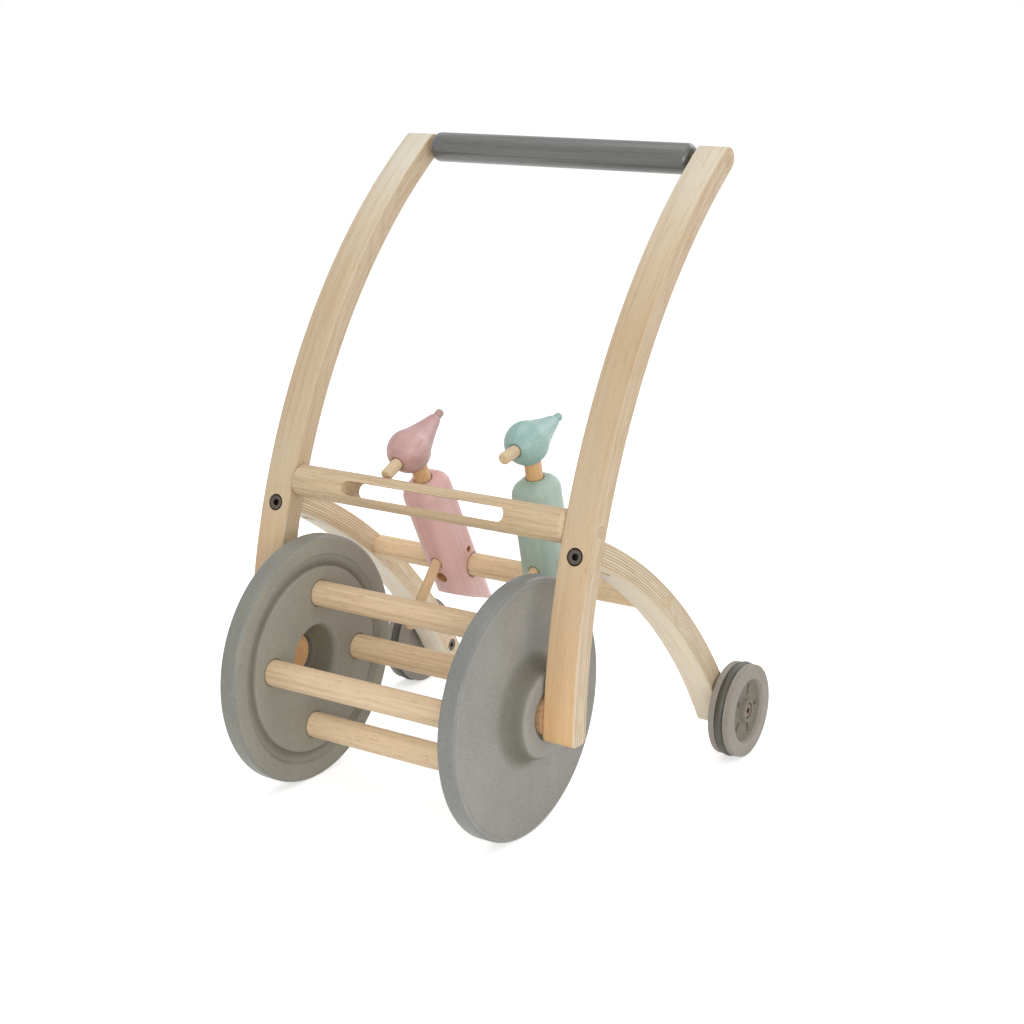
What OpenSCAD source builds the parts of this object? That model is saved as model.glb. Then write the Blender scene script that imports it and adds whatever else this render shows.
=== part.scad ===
// Baby push walker: bent laminated frame, front drum with four rods, two pecking birds
// Millimetres. X across, Y to the rear, Z up. Origin on the floor, at the middle of the outline.

/* [Wheels] */
// Diameter of the front wheels
wheel_d = 185; // [180:1:190]
// Width of the front wheels' rims
wheel_rim_w = 15; // [14:1:17]
// Distance between the front wheels' inner faces
wheel_gap = 171; // [168:1:172]
// Length of the front wheels' hubs beyond their rims
hub_out = 15; // [13:0.5:15.5]
// Distance between the front and rear axles
wheel_base = 223.5; // [215:0.5:231]
// Diameter of the rear wheels over their rubber rings
rear_wheel_d = 74; // [70:1:78]
// Width of the rear wheels
rear_wheel_w = 18; // [17:1:21]

/* [Frame] */
// Clear distance between the side rails
rail_gap = 234; // [232:1:242]
// Width of the rails and legs across the walker
rail_w = 24; // [22:1:28]
// Thickness of the rails and legs
rail_t = 17.5; // [17:0.5:20]
// Centre-line radius of the bent rails and legs
bend_r = 476; // [460:1:490]
// Depth of the rails' lower ends below the front axle
rail_drop = 17; // [16:1:20]
// Position of the handle along the rails' bend, in degrees
handle_angle = 53.6; // [50:0.1:56]
// Position of the pecking log along the rails' bend, in degrees
log_angle = 17.7; // [17.5:0.1:18.2]
// Position of the leg bolts along the rails' bend, in degrees
bolt_angle = 15.4; // [15.1:0.1:15.7]
// Diameter of the handle bar
handle_d = 23; // [21:0.5:26]
// Diameter of the pecking log
log_d = 24; // [22:0.5:24]
// Length of the slot in the log
slot_len = 140; // [120:1:160]
// Height of the slot in the log
slot_h = 10.5; // [8:0.5:12]
// Diameter of the dowels that pin the handle and the log
dowel_d = 8; // [6:0.5:9]
// Diameter of the perch rod
perch_d = 18; // [16:0.5:18]
// Distance of the perch behind the front axle
perch_back = 120.8; // [120:0.2:121.4]
// Height of the perch above the legs' centre line
perch_up = 1; // [0:0.2:2]

/* [Drum] */
// Diameter of the drum rods
rod_d = 19; // [17:0.5:19]
// Radius of the circle that the drum rods stand on
rod_circle_r = 50; // [49:0.5:50]
// Turn of the drum as it stands, in degrees
drum_angle = -4; // [-4.5:0.5:-3.5]
// Diameter of the wooden axle stubs
stub_d = 30; // [26:1:31]

/* [Birds] */
// Distance of each bird from the middle
bird_x = 43; // [38:1:50]
// Width of a bird's body
bird_w = 32; // [28:1:34]
// Gap between the pink bird's beak and the log as it stands
beak_gap = 0.3; // [0.2:0.05:1]
// Forward lean of the green bird, in degrees
green_angle = 15.5; // [15:0.1:17.5]
// Height of a bird's body above the perch
body_top = 88; // [85:0.5:90]
// Height of a bird's head axis above the perch
head_up = 117.5; // [117:0.5:120]
// Radius of a bird's head
head_r = 16.5; // [15.5:0.5:17]
// Diameter of the beaks
beak_d = 9; // [8:0.5:9]
// Reach of the beaks' tips in front of the perch
beak_reach = 39.6; // [37:0.2:39.6]
// Diameter of the lever pegs
peg_d = 8; // [7:0.2:8]
// Length of the lever pegs outside the bodies
peg_len = 56; // [54:0.5:56]

/* [Fits] */
// Radial clearance of turning fits
fit_run = 0.3; // [0.2:0.05:0.4]
// Radial clearance of glued and screwed fits
fit_glue = 0.05; // [0.02:0.01:0.1]

/* [Hidden] */
$fn = 96;
wheel_r = wheel_d / 2;
rear_r = rear_wheel_d / 2;
axle_y = (wheel_r - wheel_base - rear_r) / 2;
axle_z = wheel_r;
rear_z = rear_r - wheel_r;
rail_x = rail_gap / 2;
rail_out = rail_x + rail_w;
rail_ro = bend_r + rail_t / 2;
rail_ri = bend_r - rail_t / 2;
// The bend's tangent at the rails' lower ends stands this far in front of the axle
rail_lead = 2;
rail_c = [bend_r - rail_lead, -rail_drop];
handle_c = rail_c + bend_r * [-cos(handle_angle), sin(handle_angle)];
log_c = rail_c + bend_r * [-cos(log_angle), sin(log_angle)];
// The bar's ends stop short of the rails, and the rails run on past its axis
handle_e = 4.5;
handle_gap = 4;
rail_over = 10.7;
top_e = 8.2;
top_angle = handle_angle + rail_over / bend_r * 180 / PI;
log_e = 4;
// Each leg is an arc of the same bend from the rail's rear face to the rear axle
joint_angle = bolt_angle + 0.5;
joint_c = rail_c + rail_ri * [-cos(joint_angle), sin(joint_angle)];
rear_c = [wheel_base, rear_z];
leg_chord = rear_c - joint_c;
leg_half = norm(leg_chord) / 2;
leg_dir = leg_chord / norm(leg_chord);
leg_sag = sqrt(bend_r * bend_r - leg_half * leg_half);
leg_c = (joint_c + rear_c) / 2 - leg_sag * [-leg_dir[1], leg_dir[0]];
leg_a_rear = atan2(rear_z - leg_c[1], wheel_base - leg_c[0]);
leg_a_joint = atan2(joint_c[1] - leg_c[1], joint_c[0] - leg_c[0]);
leg_tail = 17;
leg_a_end = leg_a_rear - leg_tail / bend_r * 180 / PI;
// The perch follows the legs' centre line
perch_z = leg_c[1] + perch_up + sqrt(bend_r * bend_r - (perch_back - leg_c[0]) * (perch_back - leg_c[0]));
tenon_r = 4.75;
// Leg bolts and their cross nuts
bolt_r = 3;
bolt_head_r = 6;
bolt_head_h = 4.5;
bolt_sink = 0.3;
nut_r = 5;
nut_len = 13;
nut_depth = 28;
nut_c = rail_c + (rail_ri - nut_depth) * [-cos(bolt_angle), sin(bolt_angle)];
nut_a = atan2(nut_c[1] - leg_c[1], nut_c[0] - leg_c[0]);
bolt_len = rail_t + nut_depth + nut_r + 3 - bolt_sink;
// Front wheels
wheel_in = wheel_gap / 2;
wheel_out = wheel_in + wheel_rim_w;
hub_face = wheel_out + hub_out;
edge_r = 3.2;
rod_seat = 10;
rod_r = rod_d / 2;
stub_r = stub_d / 2;
bush_in = stub_r + fit_run;
bush_out = bush_in + 1.2;
bore_r = bush_out + fit_glue;
bush_x0 = hub_face - 11.5;
bush_x1 = hub_face - 2;
stub_x0 = hub_face - 10.5;
stub_tenon_r = 6;
stub_tenon = 14;
// Rear wheels
rear_gap = 2;
leg_gap = 0.5;
rear_x0 = rail_out + rear_gap;
rear_x1 = rear_x0 + rear_wheel_w;
ring_r = 3.5;
ring_c = rear_r - ring_r;
ring_x = rear_x0 + 0.48 * rear_wheel_w;
flange_r = rear_r - 1;
sleeve_r = 4;
sleeve_head_r = 5.8;
sleeve_head_h = 2.4;
axle_bolt_r = 2.5;
axle_head_r = 5;
axle_head_h = 3.6;
sleeve_x0 = rail_out - 12;
// Outer face: a dish round a boss that holds the sleeve's head, with shallow slots on its floor
dish_r = 25;
dish_d = 4;
boss_r = 8.8;
boss_x = rear_x1 - 0.4;
head_x = rear_x1 - 1.2;
vent_w = 3.6;
vent_d = 2;
vent_from = 11.8;
vent_len = 9;
vent_turn = 15;
// Birds, in the bird's own frame: Y to the back, Z up, origin on the perch axis
bird_front = 22;
bird_back = 14;
// The body's foot slopes from its front to its back
foot_front = 14;
foot_back = 48;
foot_slope = (foot_back - foot_front) / (bird_front + bird_back);
shoulder_r = 13;
side_r = 12;
plan_r = 11;
bird_bore_r = perch_d / 2 + 0.5;
neck_r = 6.5;
neck_f = 4;
neck_seat = 14;
neck_top = head_up - 7;
head_f = 8;
crest_f = -29.5;
nape_r = 4.5;
crest_r = 3.25;
crest_e = 1.5;
crest_len = 9.5;
crest_seat = 9;
// The beak tilts up a little from the head's line, about the middle of the ball
beak_tilt = 4;
beak_root = 3;
beak_e = 1.5;
beak_len = (beak_reach - head_f) / cos(beak_tilt);
// The pink bird leans until the rounded lower edge of its beak is beak_gap from the log
beak_edge = [head_f, head_up] + (beak_len - beak_e) * [cos(beak_tilt), sin(beak_tilt)]
    - (beak_d / 2 - beak_e) * [-sin(beak_tilt), cos(beak_tilt)];
log_from_perch = [perch_back - log_c[0], log_c[1] - perch_z];
beak_stop = log_d / 2 + beak_e + beak_gap;
edge_far = norm(beak_edge);
log_far = norm(log_from_perch);
pink_lean = atan2(beak_edge[1], beak_edge[0]) - atan2(log_from_perch[1], log_from_perch[0])
    - acos((edge_far * edge_far + log_far * log_far - beak_stop * beak_stop) / (2 * edge_far * log_far));
peg_h = 17.8;
peg_angle = 21;
peg_seat = 13;
spare_h = 2.5;
spare_seat = 6;
pin_h = 16;
pin_r = 2.5;
pin_seat = 8;

// Placing helpers
module at_axle() translate([0, axle_y, axle_z]) children();
module at_point(p) translate([0, axle_y + p[0], axle_z + p[1]]) children();
module on_side(s) {
    if (s > 0) children();
    else mirror([1, 0, 0]) children();
}
module both_sides() {
    children();
    mirror([1, 0, 0]) children();
}
module xcyl(r, x0, x1) translate([x0, 0, 0]) rotate([0, 90, 0]) cylinder(r = r, h = x1 - x0);
module xrev() rotate([0, 90, 0]) rotate_extrude() children();
module xprism(x0, w) translate([x0, 0, 0]) rotate([90, 0, 90]) linear_extrude(height = w) children();
// Local Z runs outwards from a bend's centre at the given angle from the front or from the rear level
module from_rail(x, a) translate([x, axle_y + rail_c[0], axle_z + rail_c[1]]) rotate([90 - a, 0, 0]) children();
module from_leg(x, a) translate([x, axle_y + leg_c[0], axle_z + leg_c[1]]) rotate([a - 90, 0, 0]) children();
module bird_at(x, lean) translate([x, axle_y + perch_back, axle_z + perch_z]) rotate([lean, 0, 0]) children();

// Bar across the walker with rounded ends
module round_bar(r, half, e) {
    xrev() {
        translate([0, -half]) square([r - e, 2 * half]);
        translate([0, -half + e]) square([r, 2 * half - 2 * e]);
        translate([r - e, half - e]) circle(r = e);
        translate([r - e, e - half]) circle(r = e);
    }
}

// Rails
module rail_profile() {
    difference() {
        intersection() {
            difference() {
                translate(rail_c) circle(r = rail_ro, $fn = 360);
                translate(rail_c) circle(r = rail_ri, $fn = 360);
            }
            polygon([
                rail_c,
                rail_c + [-2 * bend_r, 0],
                rail_c + 2 * bend_r * [-1, tan(top_angle / 2)],
                rail_c + 2 * bend_r * [-cos(top_angle), sin(top_angle)]
            ]);
        }
        rail_corner(-1);
        rail_corner(1);
        end_corner(rail_c, 180 - top_angle, -1, top_e);
        end_corner(rail_c, 180 - top_angle, 1, top_e);
    }
}
module rail_corner(s) {
    e = 5;
    translate([s * (rail_t / 2 - e) - rail_lead, e - rail_drop]) difference() {
        translate([s > 0 ? 0 : -e - 1, -e - 1]) square([e + 1, e + 1]);
        circle(r = e);
    }
}
module end_corner(c, a, s, e) {
    translate(c) rotate(a) translate([bend_r + s * (rail_t / 2 - e), e]) difference() {
        translate([s > 0 ? 0 : -e - 1, -e - 1]) square([e + 1, e + 1]);
        circle(r = e);
    }
}
module side_rail(s) {
    on_side(s) difference() {
        at_axle() xprism(rail_x, rail_w) rail_profile();
        at_point(handle_c) xcyl(dowel_d / 2 + fit_glue, rail_x - 1, rail_out + 1);
        at_point(log_c) xcyl(dowel_d / 2 + fit_glue, rail_x - 1, rail_out + 1);
        at_axle() xcyl(stub_tenon_r + fit_glue, rail_x - 1, rail_x + stub_tenon + 0.3);
        from_rail(rail_x + rail_w / 2, bolt_angle) {
            translate([0, 0, rail_ri - 5]) cylinder(r = bolt_r + 0.2, h = rail_t + 10);
            translate([0, 0, rail_ro - bolt_sink - bolt_head_h]) cylinder(r = bolt_head_r + 0.3, h = 12);
        }
    }
}
module left_side_rail() color("BurlyWood") side_rail(1);
module right_side_rail() color("BurlyWood") side_rail(-1);

module handle_bar() {
    color("DimGray") difference() {
        at_point(handle_c) round_bar(handle_d / 2, rail_x - handle_gap, handle_e);
        both_sides() at_point(handle_c) xcyl(dowel_d / 2 + fit_glue, rail_x - 18.3, rail_x + 1);
    }
}
module end_dowels(p) {
    both_sides() at_point(p) xcyl(dowel_d / 2, rail_x - 18, rail_out);
}
module handle_dowels() color("Tan") end_dowels(handle_c);
module log_dowels() color("Tan") end_dowels(log_c);

module pecking_log() {
    color("BurlyWood") difference() {
        at_point(log_c) round_bar(log_d / 2, rail_x, log_e);
        both_sides() at_point(log_c) xcyl(dowel_d / 2 + fit_glue, rail_x - 18.3, rail_x + 1);
        from_rail(0, log_angle) translate([0, 0, bend_r - log_d]) linear_extrude(height = 2 * log_d) {
            square([slot_len - slot_h, slot_h], center = true);
            translate([slot_len / 2 - slot_h / 2, 0]) circle(r = slot_h / 2);
            translate([slot_h / 2 - slot_len / 2, 0]) circle(r = slot_h / 2);
        }
    }
}

// Legs
module leg_profile() {
    e = 6;
    difference() {
        intersection() {
            difference() {
                translate(leg_c) circle(r = rail_ro, $fn = 360);
                translate(leg_c) circle(r = rail_ri, $fn = 360);
            }
            translate(rail_c) circle(r = rail_ri, $fn = 360);
            polygon([
                leg_c,
                leg_c + 2 * bend_r * [cos(leg_a_joint + 6), sin(leg_a_joint + 6)],
                leg_c + 2 * bend_r * [cos(leg_a_end), sin(leg_a_end)]
            ]);
        }
        end_corner(leg_c, leg_a_end, -1, e);
        end_corner(leg_c, leg_a_end, 1, e);
    }
}
module rear_leg(s) {
    on_side(s) difference() {
        at_axle() xprism(rail_x, rail_w) leg_profile();
        at_point([perch_back, perch_z]) xcyl(tenon_r + fit_glue, rail_x - 1, rail_out + 1);
        at_point(rear_c) {
            xcyl(axle_bolt_r + 0.2, rail_x - 1, rail_out + 1);
            xcyl(axle_head_r + 0.2, rail_x - 1, rail_x + axle_head_h + 0.2);
            xcyl(sleeve_r + fit_glue, sleeve_x0 - 0.3, rail_out + 1);
        }
        from_rail(rail_x + rail_w / 2, bolt_angle) {
            translate([0, 0, rail_ro - bolt_len - 3]) cylinder(r = bolt_r + 0.2, h = bolt_len);
        }
        from_leg(rail_x + rail_w / 2, nut_a) {
            translate([0, 0, rail_ri - 5]) cylinder(r = nut_r + fit_glue, h = 5 + rail_t - 2);
        }
    }
}
module left_rear_leg() color("BurlyWood") rear_leg(1);
module right_rear_leg() color("BurlyWood") rear_leg(-1);

module leg_bolts() {
    color("DarkOliveGreen") both_sides() from_rail(rail_x + rail_w / 2, bolt_angle) difference() {
        union() {
            translate([0, 0, rail_ro - bolt_sink - bolt_head_h]) cylinder(r = bolt_head_r, h = bolt_head_h);
            translate([0, 0, rail_ro - bolt_sink - bolt_len]) cylinder(r = bolt_r, h = bolt_len - 1);
        }
        translate([0, 0, rail_ro - bolt_sink - 2.8]) cylinder(r = 2.3, h = 5, $fn = 6);
    }
}
module leg_barrel_nuts() {
    color("Silver") both_sides() difference() {
        from_leg(rail_x + rail_w / 2, nut_a) difference() {
            translate([0, 0, bend_r - nut_len / 2]) cylinder(r = nut_r, h = nut_len);
            translate([-4, -0.6, bend_r - nut_len / 2 - 1]) cube([8, 1.2, 2.2]);
        }
        from_rail(rail_x + rail_w / 2, bolt_angle) {
            translate([0, 0, rail_ro - bolt_len - 3]) cylinder(r = bolt_r + fit_glue, h = bolt_len);
        }
    }
}
module perch_rod() {
    color("BurlyWood") at_point([perch_back, perch_z]) {
        xcyl(perch_d / 2, -rail_x, rail_x);
        xcyl(tenon_r, -rail_out, rail_out);
    }
}
module axle_stub(s) {
    on_side(s) at_axle() xrev() {
        translate([0, stub_x0]) square([stub_r - 1, 3]);
        translate([0, stub_x0 + 1]) square([stub_r, rail_x - stub_x0 - 1]);
        translate([stub_r - 1, stub_x0 + 1]) circle(r = 1);
        translate([0, rail_x - 1]) square([stub_tenon_r, stub_tenon + 1]);
    }
}
module left_axle_stub() color("Peru") axle_stub(1);
module right_axle_stub() color("Peru") axle_stub(-1);

// Rear axles
module rear_axle_bolts() {
    color("DarkOliveGreen") both_sides() at_point(rear_c) difference() {
        union() {
            xcyl(axle_head_r, rail_x + 0.2, rail_x + axle_head_h + 0.2);
            xcyl(axle_bolt_r, rail_x + axle_head_h - 1, head_x - 6.8);
        }
        rotate([0, 90, 0]) translate([0, 0, rail_x - 1]) cylinder(r = 2.3, h = 3.6, $fn = 6);
    }
}
module rear_axle_sleeves() {
    color("Peru") both_sides() at_point(rear_c) difference() {
        union() {
            xcyl(sleeve_r, sleeve_x0, head_x - 1);
            xcyl(sleeve_head_r, head_x - sleeve_head_h, head_x);
        }
        xcyl(axle_bolt_r + fit_glue, sleeve_x0 - 1, head_x - 6.3);
        rotate([0, 90, 0]) translate([0, 0, head_x - 2.8]) cylinder(r = 2.3, h = 5, $fn = 6);
    }
}

// Front wheels, profile as radius against distance across
module front_wheel_profile() {
    difference() {
        union() {
            polygon([
                [bore_r, bush_x0 - 0.5], [bore_r + 2.5, bush_x0 - 2.5], [26, wheel_in + 2.5], [28.5, wheel_in],
                [69, wheel_in], [70, wheel_in + 3], [77.5, wheel_in + 3], [79, wheel_in],
                [wheel_r - edge_r, wheel_in], [wheel_r - edge_r, wheel_out],
                [wheel_r - edge_r - 0.6, wheel_out], [wheel_r - edge_r - 1.4, wheel_out - 0.8],
                [41, wheel_out - 0.8], [37.5, wheel_out + 0.2], [35, wheel_out + 2.2], [33.4, wheel_out + 5],
                [32, hub_face - 4], [30.6, hub_face - 1.6], [28.2, hub_face - 0.4], [26, hub_face],
                [bore_r + 2, hub_face], [bore_r, hub_face - 2]
            ]);
            translate([wheel_r - 2 * edge_r, wheel_in + edge_r]) {
                square([2 * edge_r, wheel_rim_w - 2 * edge_r]);
            }
            translate([wheel_r - edge_r, wheel_in + edge_r]) circle(r = edge_r);
            translate([wheel_r - edge_r, wheel_out - edge_r]) circle(r = edge_r);
        }
    }
}
module rod_spot(a) {
    translate([0, rod_circle_r * cos(a), rod_circle_r * sin(a)]) children();
}
module front_wheel(s) {
    on_side(s) at_axle() difference() {
        xrev() front_wheel_profile();
        for (k = [0 : 3]) {
            rod_spot(drum_angle + 90 * k) xcyl(rod_r + fit_glue, wheel_in - 1, wheel_in + rod_seat + 0.2);
        }
    }
}
module left_front_wheel() color("Gray") front_wheel(1);
module right_front_wheel() color("Gray") front_wheel(-1);
module hub_bush(s) {
    on_side(s) at_axle() xrev() {
        translate([bush_in, bush_x0]) square([bush_out - bush_in, bush_x1 - bush_x0]);
    }
}
module left_hub_bush() color("SlateGray") hub_bush(1);
module right_hub_bush() color("SlateGray") hub_bush(-1);
module drum_rod(k) {
    at_axle() rod_spot(drum_angle + 90 * k) xcyl(rod_r, -wheel_in - rod_seat, wheel_in + rod_seat);
}
module drum_rod_rear() color("BurlyWood") drum_rod(0);
module drum_rod_top() color("BurlyWood") drum_rod(1);
module drum_rod_front() color("BurlyWood") drum_rod(2);
module drum_rod_bottom() color("BurlyWood") drum_rod(3);

// Rear wheels
module rear_wheel_profile() {
    e = 1.5;
    difference() {
        union() {
            polygon([
                [sleeve_r + fit_run, rail_out + leg_gap], [boss_r, rail_out + leg_gap],
                [boss_r + 0.6, rear_x0 + 2.5], [dish_r - 1, rear_x0 + 2.5], [dish_r + 1, rear_x0],
                [flange_r - e, rear_x0], [flange_r - e, rear_x1],
                [dish_r + 0.6, rear_x1], [dish_r, rear_x1 - 0.5],
                [dish_r - 0.8, rear_x1 - dish_d + 0.6], [dish_r - 1.6, rear_x1 - dish_d],
                [boss_r + 1.6, rear_x1 - dish_d], [boss_r + 0.6, rear_x1 - dish_d + 0.8],
                [boss_r, boss_x - 0.6], [boss_r - 0.6, boss_x], [sleeve_head_r + 0.4, boss_x],
                [sleeve_head_r + 0.4, head_x - sleeve_head_h - fit_run],
                [sleeve_r + fit_run, head_x - sleeve_head_h - fit_run]
            ]);
            translate([flange_r - 2 * e, rear_x0 + e]) square([2 * e, rear_wheel_w - 2 * e]);
            translate([flange_r - e, rear_x0 + e]) circle(r = e);
            translate([flange_r - e, rear_x1 - e]) circle(r = e);
        }
        translate([ring_c, ring_x]) circle(r = ring_r + fit_glue);
        translate([ring_c, ring_x - ring_r - fit_glue]) square([2 * ring_r, 2 * (ring_r + fit_glue)]);
    }
}
module rear_wheel(s) {
    on_side(s) at_point(rear_c) difference() {
        xrev() rear_wheel_profile();
        for (k = [0 : 4]) {
            rotate([72 * k - vent_turn, 0, 0]) {
                translate([rear_x1 - dish_d - vent_d, -vent_w / 2, vent_from]) cube([dish_d, vent_w, vent_len]);
            }
        }
    }
}
module left_rear_wheel() color("Gray") rear_wheel(1);
module right_rear_wheel() color("Gray") rear_wheel(-1);
module tyre_ring(s) {
    on_side(s) at_point(rear_c) xrev() translate([ring_c, ring_x]) circle(r = ring_r);
}
module left_tyre_ring() color("DarkSlateGray") tyre_ring(1);
module right_tyre_ring() color("DarkSlateGray") tyre_ring(-1);

// Birds
module arch(a0, a1, z0, top, r) {
    translate([a0, z0]) square([a1 - a0, top - r - z0]);
    translate([a0 + r, z0]) square([a1 - a0 - 2 * r, top - z0]);
    translate([a0 + r, top - r]) circle(r = r);
    translate([a1 - r, top - r]) circle(r = r);
}
module round_rect(a0, a1, b0, b1, r) {
    translate([a0 + r, b0]) square([a1 - a0 - 2 * r, b1 - b0]);
    translate([a0, b0 + r]) square([a1 - a0, b1 - b0 - 2 * r]);
    for (a = [a0 + r, a1 - r]) {
        for (b = [b0 + r, b1 - r]) {
            translate([a, b]) circle(r = r);
        }
    }
}
module peg_line(h) translate([0, -bird_front, h]) rotate([90 + peg_angle, 0, 0]) children();
module bird_body() {
    difference() {
        intersection() {
            xprism(-bird_w / 2 - 1, bird_w + 2) difference() {
                arch(-bird_front, bird_back, -1.25 * foot_back, body_top, shoulder_r);
                polygon([
                    [-2 * bird_front, foot_slope * bird_front - foot_front],
                    [2 * bird_back, -foot_slope * bird_back - foot_back],
                    [2 * bird_back, -2 * foot_back], [-2 * bird_front, -2 * foot_back]
                ]);
            }
            translate([0, 2 * bird_back, 0]) rotate([90, 0, 0]) {
                linear_extrude(height = 2 * (bird_front + bird_back)) {
                    arch(-bird_w / 2, bird_w / 2, -1.25 * foot_back, body_top, side_r);
                }
            }
            translate([0, 0, -2 * foot_back]) linear_extrude(height = 3 * foot_back + body_top) {
                round_rect(-bird_w / 2, bird_w / 2, -bird_front, bird_back, plan_r);
            }
        }
        xcyl(bird_bore_r, -bird_w, bird_w);
        translate([0, -neck_f, body_top - neck_seat - 0.2]) cylinder(r = neck_r + fit_glue, h = neck_seat + 5);
        peg_line(peg_h) translate([0, 0, -peg_seat - 0.2]) cylinder(r = peg_d / 2 + fit_glue, h = peg_seat + 9);
        peg_line(spare_h) translate([0, 0, -spare_seat]) cylinder(r = peg_d / 2 + 0.25, h = spare_seat + 9);
        translate([0, 0, pin_h]) xcyl(pin_r, bird_w / 2 - pin_seat, bird_w);
    }
}
module bird_neck() {
    translate([0, -neck_f, body_top - neck_seat]) cylinder(r = neck_r, h = neck_top - body_top + neck_seat);
}
// Head turned about its own line: a ball with a slightly hollow taper to the crest
taper = 24;
ball_steps = 18;
function ball_point(a) = [head_r * cos(a), head_f + head_r * sin(a)];
module head_profile() {
    polygon(concat(
        [for (k = [0 : ball_steps]) ball_point(90 - k * (90 + taper) / ball_steps)],
        [[13.6, -1.5], [11.9, -6], [9.9, -12], [8, -18], [6.3, -24], [nape_r, crest_f - 1], [0, crest_f - 1]]
    ));
}
module beak_line() translate([0, -head_f, head_up]) rotate([90 - beak_tilt, 0, 0]) children();
module bird_head() {
    difference() {
        translate([0, 0, head_up]) rotate([90, 0, 0]) rotate_extrude() head_profile();
        translate([0, -neck_f, body_top]) cylinder(r = neck_r + fit_glue, h = neck_top - body_top + 0.2);
        beak_line() translate([0, 0, beak_root - 0.2]) cylinder(r = beak_d / 2 + fit_glue, h = 40);
        translate([0, -crest_f - crest_seat - 0.2, head_up]) rotate([-90, 0, 0]) {
            cylinder(r = crest_r + fit_glue, h = 40);
        }
    }
}
module bird_crest() {
    translate([0, -crest_f - crest_seat, head_up]) rotate([-90, 0, 0]) rotate_extrude() {
        square([crest_r - crest_e, crest_seat + crest_len]);
        square([crest_r, crest_seat + crest_len - crest_e]);
        translate([crest_r - crest_e, crest_seat + crest_len - crest_e]) circle(r = crest_e);
    }
}
module bird_beak() {
    beak_line() rotate_extrude() {
        translate([0, beak_root]) square([beak_d / 2 - beak_e, beak_len - beak_root]);
        translate([0, beak_root]) square([beak_d / 2, beak_len - beak_root - beak_e]);
        translate([beak_d / 2 - beak_e, beak_len - beak_e]) circle(r = beak_e);
    }
}
module bird_peg() {
    peg_line(peg_h) {
        translate([0, 0, -peg_seat]) cylinder(r = peg_d / 2, h = peg_seat + peg_len - peg_d / 2);
        translate([0, 0, peg_len - peg_d / 2]) sphere(r = peg_d / 2);
    }
}
module pink_bird_body() color("Pink") bird_at(-bird_x, pink_lean) bird_body();
module pink_bird_neck() color("BurlyWood") bird_at(-bird_x, pink_lean) bird_neck();
module pink_bird_head() color("RosyBrown") bird_at(-bird_x, pink_lean) bird_head();
module pink_bird_crest() color("IndianRed") bird_at(-bird_x, pink_lean) bird_crest();
module pink_bird_beak() color("BurlyWood") bird_at(-bird_x, pink_lean) bird_beak();
module pink_bird_peg() color("BurlyWood") bird_at(-bird_x, pink_lean) bird_peg();
module green_bird_body() color("PaleTurquoise") bird_at(bird_x, green_angle) bird_body();
module green_bird_neck() color("BurlyWood") bird_at(bird_x, green_angle) bird_neck();
module green_bird_head() color("CadetBlue") bird_at(bird_x, green_angle) bird_head();
module green_bird_crest() color("Teal") bird_at(bird_x, green_angle) bird_crest();
module green_bird_beak() color("BurlyWood") bird_at(bird_x, green_angle) bird_beak();
module green_bird_peg() color("BurlyWood") bird_at(bird_x, green_angle) bird_peg();

left_side_rail();
right_side_rail();
handle_bar();
handle_dowels();
pecking_log();
log_dowels();
left_rear_leg();
right_rear_leg();
leg_bolts();
leg_barrel_nuts();
perch_rod();
left_axle_stub();
right_axle_stub();
rear_axle_bolts();
rear_axle_sleeves();
left_front_wheel();
right_front_wheel();
left_hub_bush();
right_hub_bush();
drum_rod_top();
drum_rod_rear();
drum_rod_bottom();
drum_rod_front();
left_rear_wheel();
right_rear_wheel();
left_tyre_ring();
right_tyre_ring();
pink_bird_body();
pink_bird_neck();
pink_bird_head();
pink_bird_crest();
pink_bird_beak();
pink_bird_peg();
green_bird_body();
green_bird_neck();
green_bird_head();
green_bird_crest();
green_bird_beak();
green_bird_peg();
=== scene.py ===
"""Baby push walker: the looks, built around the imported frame, in metres and in the frame's own axes."""
import math

import bpy
from mathutils import Matrix, Vector


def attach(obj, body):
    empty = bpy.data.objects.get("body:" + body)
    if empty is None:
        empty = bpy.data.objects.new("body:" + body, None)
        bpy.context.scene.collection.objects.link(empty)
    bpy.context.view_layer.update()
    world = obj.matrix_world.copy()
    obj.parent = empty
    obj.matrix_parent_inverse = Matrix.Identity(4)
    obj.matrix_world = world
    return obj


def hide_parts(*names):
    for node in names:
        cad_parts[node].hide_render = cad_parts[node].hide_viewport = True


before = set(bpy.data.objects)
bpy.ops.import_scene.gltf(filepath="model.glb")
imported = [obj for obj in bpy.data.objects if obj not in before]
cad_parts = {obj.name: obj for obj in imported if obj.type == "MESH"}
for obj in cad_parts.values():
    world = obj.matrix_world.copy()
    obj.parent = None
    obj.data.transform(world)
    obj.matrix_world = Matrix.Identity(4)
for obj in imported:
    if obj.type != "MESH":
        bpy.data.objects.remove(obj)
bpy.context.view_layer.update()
scene = bpy.context.scene
MM = 0.001

# Sizes in millimetres, as in the part's source. Front wheels and drum
WHEEL_R = 92.5
WHEEL_BASE = 223.5
WHEEL_IN = 85.5
WHEEL_OUT = 100.5
WHEEL_EDGE = 3.2
FACE_SINK = 0.8
HUB_FACE = 115.5
GROOVE_IN = 68.4
GROOVE_OUT = 80.0
GROOVE_DEEP = 3.0
ROD_R = 9.5
ROD_CIRCLE = 50.0
ROD_SEAT = 9.9
DRUM_PHASE = -4.0
STUB_R = 15.0
BUSH_GAP = 0.3
BUSH_WALL = 1.2
BUSH_TEETH = 44
TOOTH_DEEP = 0.7

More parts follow.
